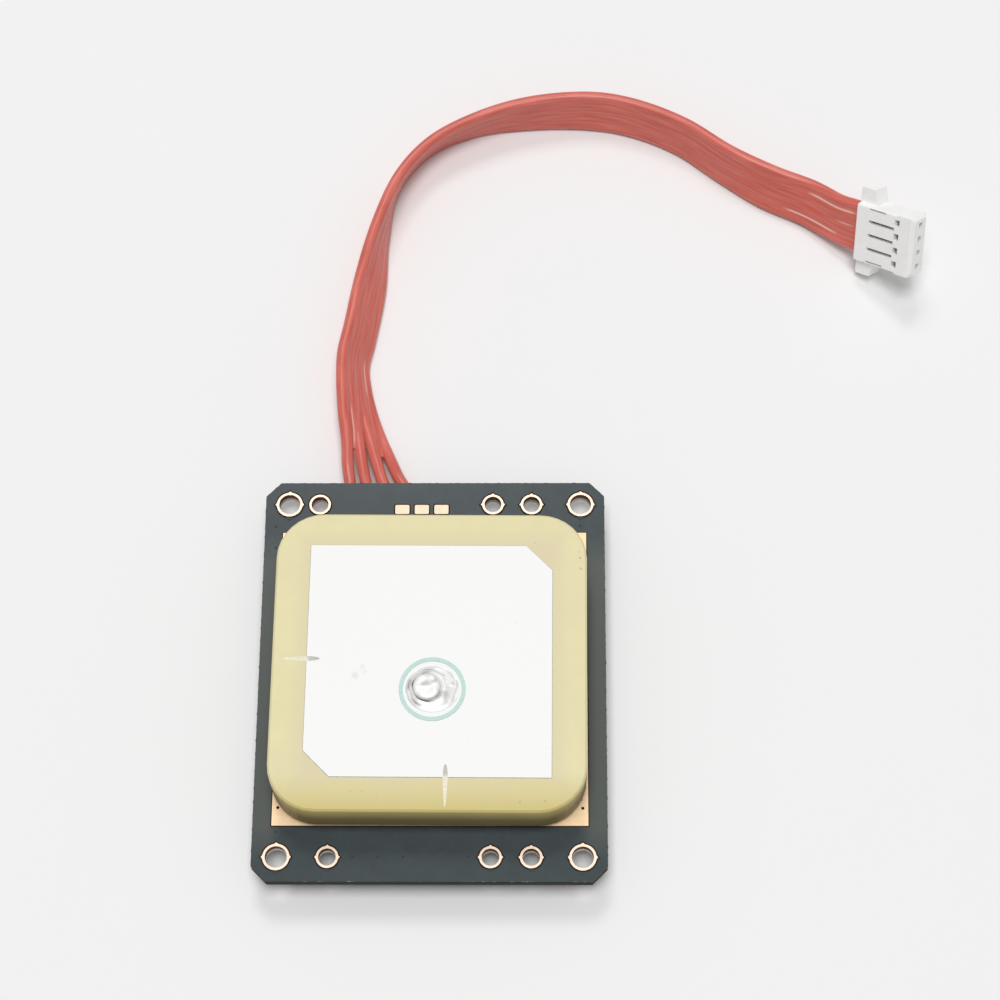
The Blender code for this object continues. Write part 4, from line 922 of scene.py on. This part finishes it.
ground = trim_skin()
for side, length in (("left", 0.00198), ("front", 0.00240)):
    cut = plate(f"trim_cut_{side}", tapered(side, length), ceramic_top - 0.00002,
                ceramic_top + 0.000007)
    fitted(cut, ground)
    for sign, label in ((-1, "near"), (1, "far")):
        lip = plate(f"trim_lip_{side}_{label}", trim_lip(side, sign), patch_low + 0.000003,
                    patch_high + 0.000005)
        fitted(lip, silver)


# Feed: a nail-headed pin, soldered to the patch inside a printed ring that stops the solder.
# The solder stands in soft lumps and draws back from the head, and its hollows are darkened with
# painted shade.
feed_middle = np.array([0.00020, -0.00260])
pin_middle = feed_middle + np.array([-0.00042, 0.00010])
feed_seat = 0.00772

resist, shader = new_material("green resist", (0.50, 0.70, 0.645), 0.45)
grained(resist, shader, 0.00035, 0.000004, 0.93, 1.05, (0.4, 0.55))
bare("solder_stop_ring").append(resist)


def lumps(turn, reach, seed):
    """Soft lumps over a round face: a sum of waves of set directions, lengths and phases."""
    rng = np.random.default_rng(seed)
    x, y = reach * np.cos(turn), reach * np.sin(turn)
    total = np.zeros(np.broadcast(turn, reach).shape)
    waves = 12
    for _ in range(waves):
        way = rng.uniform(0, 2 * np.pi)
        size = rng.uniform(2200, 7500)
        phase = rng.uniform(0, 2 * np.pi)
        total += np.sin((x * np.cos(way) + y * np.sin(way)) * size + phase)
    return total / waves ** 0.5


def bell(value, middle, width):
    """The bell curve: e to the minus square of the distance from the middle over the width."""
    return np.exp(-((value - middle) / width) ** 2)


def solder_pool():
    """The pool: from a low moat at the head it rises to a crest, then falls in lumps to its rim.

    Its attribute of painted shade is 1 at the head on the left and the front, and falls outwards.
    It is above 0 on the lumps too, near the rim, and along a wandering line midway.
    """
    points = 96
    turn = np.linspace(0, 2 * np.pi, points, endpoint=False)[None]
    degrees = np.degrees(turn)
    share = np.concatenate([np.linspace(0, 0.2, 8), np.linspace(0.26, 1, 14)])[:, None]
    near = 0.00106 * np.stack([np.cos(turn), np.sin(turn)], axis=2)
    shift = feed_middle - pin_middle
    far = np.stack([0.00210 * np.cos(turn), 0.00190 * np.sin(turn)], axis=2) + shift
    flat = near + (far - near) * share[:, :, None]
    reach = np.hypot(flat[:, :, 0], flat[:, :, 1])
    crest = np.clip(share / 0.20, 0, 1) ** 0.8
    fall = (1 - share) ** 1.2
    rough = lumps(turn, reach, 11)
    height = 0.00004 + 0.00020 * crest * fall + 0.00002 * rough * crest * (1 - share ** 4)
    height += 0.00006 * crest * bell(turn, np.radians(315), 0.5) * bell(share, 0.45, 0.25)
    rim = np.zeros((1, points, 1))
    grid = np.concatenate([np.dstack([flat[:1], rim]), np.dstack([flat, height]),
                           np.dstack([flat[-1:], rim])])
    grid += np.array([*pin_middle, feed_seat])
    ragged_edge = 0.17 + 0.07 * lumps(turn, np.full((1, points), 0.0011), 3)
    left = 0.8 * bell(degrees, 158, 34) + bell(degrees, 252, 30) + 0.35 * bell(degrees, 108, 22)
    # Painted shade: dark at the head on the left and the front, on the lumps, near the rim and
    # along a line midway.
    crevice = np.clip(left, 0, 1) * np.clip(2.2 - 1.2 * share / ragged_edge, 0, 1)
    crevice += 0.30 * np.clip(rough, 0, 1) * (share < 0.8)
    crevice += 0.35 * bell(share, 0.90 + 0.05 * rough, 0.05)
    not_at_right = np.cos(turn - np.radians(150)) > -0.3
    crevice += 0.40 * bell(share, 0.50 + 0.12 * rough, 0.06) * not_at_right
    crevice = np.clip(crevice, 0, 1)
    crevice = np.concatenate([crevice[:1], crevice, crevice[-1:]])
    return grid_mesh("solder_pool", grid, joined=True, sharp=75, attributes=[("crevice", crevice)])


def hammered_head():
    """The pin's head: a disc with a rounded rim and a face of shallow dents."""
    turn = np.linspace(0, 2 * np.pi, 72, endpoint=False)[None]
    share = np.concatenate([[1.0, 1.0], np.cos(np.radians([12, 24, 38, 52])),
                            np.linspace(0.55, 0.03, 14)])[:, None]
    rise = np.array([0.0, 0.70, 0.82, 0.91, 0.97, 0.995] + [1.0] * 14)[:, None]
    reach = 0.001085 * share
    dents = lumps(turn, reach, 5)
    height = 0.000508 * rise + 0.000016 * dents * (rise > 0.9)
    grid = np.dstack([reach * np.cos(turn), reach * np.sin(turn), height + 0 * turn])
    grid += np.array([*pin_middle, feed_seat + 0.000002])
    # Painted shade in the deeper dents of the face.
    crevice = 0.45 * np.clip(dents - 0.35, 0, 1) * (share < 0.9) + 0 * turn
    return grid_mesh("pin_head_face", grid, sharp=75, attributes=[("crevice", crevice)])


def tin_skin(name, colour, metallic, dark):
    """Tin that froze in the open: bright, with a clouded film, and darkened with painted shade in
    its hollows and dents.
    """
    made, shader = new_material(name, colour, 0.25, metallic)
    tone = grained(made, shader, 0.00045, 0.00003, dark, 1.05, (0.22, 0.45))
    deep = add(made, "ShaderNodeAttribute", attribute_name="crevice")
    # Painted shade: dark where the mesh's attribute of painted shade is high.
    colour = mixed(made, (tone, "Color"), (0.045, 0.044, 0.040), deep, "Fac")
    join(made, colour, 2, shader, "Base Color")
    return made


bright_tin = tin_skin("bright solder", (0.84, 0.84, 0.83), 0.12, 0.88)
joint_tin = tin_skin("solder", (0.76, 0.76, 0.75), 0.9, 0.72)
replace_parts(fitted(solder_pool(), bright_tin), "feed_solder")
fitted(hammered_head(), bright_tin)
bare("feed_pin").append(bright_tin)
for name in ("feed_pin_back_joint", *[f"wire_joint_{i}" for i in range(1, 5)]):
    bare(name).append(joint_tin)


# Shield can: tin-plated steel sheet, drawn over the receiver and soldered at its rim. The
# rolling left fine lines in it, and handling left dull smears.
def rolled_skin(name, colour, lines, smear):
    """Rolled sheet: noise drawn out along x for the rolling lines, under a cloudy film."""
    made, shader = new_material(name, colour, 0.35, 1.0)
    place = add(made, "ShaderNodeTexCoord")
    drawn = add(made, "ShaderNodeMapping", {"Scale": (300.0, lines, lines)})
    rolling = add(made, "ShaderNodeTexNoise", {"Scale": 1.0, "Detail": 3.0})
    film = add(made, "ShaderNodeTexNoise", {"Scale": smear, "Detail": 4.0, "Roughness": 0.6})
    join(made, place, "Object", drawn, "Vector")
    join(made, drawn, "Vector", rolling, "Vector")
    join(made, place, "Object", film, "Vector")
    bump = add(made, "ShaderNodeBump", {"Strength": 0.5, "Distance": 0.000004})
    join(made, rolling, "Fac", bump, "Height")
    join(made, bump, "Normal", shader, "Normal")
    tone = two_tone(made, film, "Fac", 0.3, 0.7, [0.91 * c for c in colour],
                    [1.04 * c for c in colour])
    join(made, tone, "Color", shader, "Base Color")
    gloss = graded(made, film, "Fac", 0.35, 0.65, 0.28, 0.38)
    join(made, gloss, "Result", shader, "Roughness")
    return made


tinned = rolled_skin("tinned sheet", (0.66, 0.67, 0.68), 9000.0, 420.0)
for name in ("shield_can", "backup_cell_board_tab", "backup_cell_outer_tab",
             "reference_oscillator", "clock_crystal", "antenna_filter"):
    bare(name).append(tinned)
bare("backup_cell").append(rolled_skin("nickelled steel", (0.60, 0.60, 0.59), 2500.0, 700.0))


def track(name, corners, width):
    """A copper track under the mask on the board's lower face: a line widened to each side.

    Each corner moves along the mean of its two normals, so the width stays even.
    """
    line = 0.001 * np.array(corners)
    way = unit(np.diff(line, axis=0))
    normal = np.stack([-way[:, 1], way[:, 0]], axis=1)
    mean = unit(np.concatenate([normal[:1], normal[:-1] + normal[1:], normal[-1:]]))
    own = np.concatenate([normal, normal[-1:]])
    mean = mean / np.sum(mean * own, axis=1, keepdims=True)
    outline = np.concatenate([line + mean * width / 2, (line - mean * width / 2)[::-1]])
    return plate(name, outline, board_low - 0.000012, board_low + root)


covered, shader = new_material("mask over copper", (0.040, 0.060, 0.062), 0.33)
grained(covered, shader, 0.0009, 0.000004, 0.90, 1.12, (0.28, 0.38))
for number, (width, corners) in enumerate((
        (0.00025, [(-7.2, 12.0), (-7.2, 10.2), (-6.2, 9.2)]),
        (0.00025, [(-5.2, 12.0), (-5.2, 10.0), (-4.2, 9.2)]),
        (0.00025, [(-3.2, 12.0), (-3.2, 10.6), (-2.2, 9.6), (-2.2, 7.4)]),
        (0.00060, [(-1.2, 12.0), (-1.2, 11.3), (1.4, 11.3)]),
        (0.00060, [(1.6, 11.3), (3.6, 11.3)]),
        (0.00060, [(6.2, 11.3), (8.0, 11.3)]),
        (0.00025, [(-6.2, 8.1), (-6.2, 7.4)]),
        (0.00025, [(-4.2, 8.1), (-4.2, 7.4)]),
        (0.00025, [(9.4, -11.1), (7.6, -11.1)]),
        (0.00025, [(7.2, -10.6), (7.2, -9.4)]),
        (0.00040, [(12.0, 13.1), (12.9, 12.2), (12.9, -12.0), (11.6, -13.3)]),
        (0.00040, [(-13.0, 11.2), (-12.6, 10.8), (-12.6, -12.2), (-12.1, -13.0)])), 1):
    fitted(track(f"track_{number}", corners, width), covered)


# Small parts under and beside the can: moulded black packages with tinned terminals, brown
# chip capacitors with metal ends, and a clear light-emitting part on a white base.
def metal_ends():
    """A mask that is 1 beyond a body's half sizes from its middle, along x, y or z."""
    inputs = [("Middle", "NodeSocketVector", (0, 0, 0)), ("Body", "NodeSocketVector", (1, 1, 1))]
    group, start, end = new_group("metal ends", inputs, [("Mask", "NodeSocketFloat")])
    place = add(group, "ShaderNodeTexCoord")
    vector = "ShaderNodeVectorMath"
    away = worked_out(group, "SUBTRACT", (place, "Object"), (start, "Middle"), kind=vector)
    size = worked_out(group, "ABSOLUTE", (away, "Vector"), kind=vector)
    beyond = worked_out(group, "SUBTRACT", (size, "Vector"), (start, "Body"), kind=vector)
    axes = add(group, "ShaderNodeSeparateXYZ")
    join(group, beyond, "Vector", axes, "Vector")
    most = worked_out(group, "MAXIMUM", (axes, "X"), (axes, "Y"))
    most = worked_out(group, "MAXIMUM", (most, 0), (axes, "Z"))
    join(group, graded(group, most, 0, 0.0, 0.00001), "Result", end, "Mask")
    return group


ends = metal_ends()


def ended(name, label, colour, body, metal=(0.72, 0.72, 0.70)):
    """A package's finish, with tin beyond the body's half sizes (x, y, z) from its middle."""
    middle = np.mean(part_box(name), axis=0)
    made, shader = new_material(label, colour, 0.5)
    tone = grained(made, shader, 0.0002, 0.000006, 0.8, 1.2, (0.42, 0.6))
    mask = add(made, "ShaderNodeGroup", {"Middle": middle, "Body": body}, node_tree=ends)
    coat = mixed(made, (tone, "Color"), metal, mask, "Mask")
    join(made, coat, 2, shader, "Base Color")
    join(made, mask, "Mask", shader, "Metallic")
    bare(name).append(made)


black, brown = (0.022, 0.022, 0.024), (0.40, 0.29, 0.19)
end_length = 0.00022
for name in node:
    if name.startswith(("chip_capacitor", "supply_capacitor", "matching_inductor",
                        "series_resistor", "led_resistor")):
        low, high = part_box(name)
        body = (1, (high[1] - low[1]) / 2 - end_length, 1)
        ended(name, f"{name} finish", black if "resistor" in name else brown, body)
ended("receiver_chip", "receiver finish", black, (0.003505, 0.003505, 1), (0.78, 0.62, 0.42))
ended("voltage_regulator", "regulator finish", black, (1, 0.00081, 1))

black_epoxy, shader = new_material("black epoxy", black, 0.5)
grained(black_epoxy, shader, 0.0002, 0.000006, 0.8, 1.25, (0.42, 0.6))
bare("antenna_amplifier").append(black_epoxy)


def lens_skin():
    """The lens is clear and faintly yellow. Below its step the base is white."""
    made, shader = new_material("clear epoxy", (0.80, 0.79, 0.70), 0.16)
    tone = grained(made, shader, 0.0006, 0.000002, 0.95, 1.04, (0.10, 0.22))
    base = graded(made, object_axes(made), "Z", 0.002155, 0.002165)
    colour = mixed(made, (tone, "Color"), (0.86, 0.86, 0.83), base, "Result")
    join(made, colour, 2, shader, "Base Color")
    shader.inputs["Transmission Weight"].default_value = 0.25
    return made


bare("status_led").append(lens_skin())


# Plug: a white polyamide moulding, slightly translucent, over the four formed contacts.
polyamide, shader = new_material("white polyamide", (0.95, 0.95, 0.935), 0.42)
grained(polyamide, shader, 0.0009, 0.000004, 0.97, 1.02, (0.36, 0.5))
shader.inputs["Subsurface Weight"].default_value = 0.15
shader.inputs["Subsurface Radius"].default_value = (0.0006, 0.0006, 0.0006)
shader.inputs["Subsurface Scale"].default_value = 1.0
bare("plug_housing").append(polyamide)


# Table and light: a pale table top, a steep window behind the module and a broad soft light
# from above, in a pale room.
table_half = 1.5
corners = [(table_half * x, table_half * y, 0) for x, y in ((-1, -1), (1, -1), (1, 1), (-1, 1))]
table_mesh = bpy.data.meshes.new("table")
table_mesh.from_pydata(corners, [], [(0, 1, 2, 3)])
table = placed("table", table_mesh)
pale, shader = new_material("pale table", (0.86, 0.86, 0.86), 0.7)
grained(pale, shader, 0.02, 0.00001, 0.995, 1.003, (0.65, 0.75))
table.data.materials.append(pale)


def lamp(name, place, size, power):
    """A square soft lamp at a place, turned to face the module."""
    light = bpy.data.lights.new(name, "AREA")
    light.size = size
    light.energy = power
    made = placed(name, light)
    x, y, z = np.array([0.005, 0.01, 0.0]) - place
    made.location = place
    made.rotation_euler = (math.atan2(math.hypot(x, y), -z), 0, math.atan2(y, x) - math.pi / 2)


lamp("steep window", (-0.06, 0.60, 0.92), 0.30, 2.5)
lamp("overhead", (0.0, -0.10, 1.1), 0.45, 6.8)
world = bpy.data.worlds.new("room")
bpy.context.scene.world = world
world.use_nodes = True
background = world.node_tree.nodes["Background"]
background.inputs["Color"].default_value = (1.0, 1.0, 1.0, 1)
background.inputs["Strength"].default_value = 0.32

bpy.context.scene.view_settings.view_transform = "Standard"
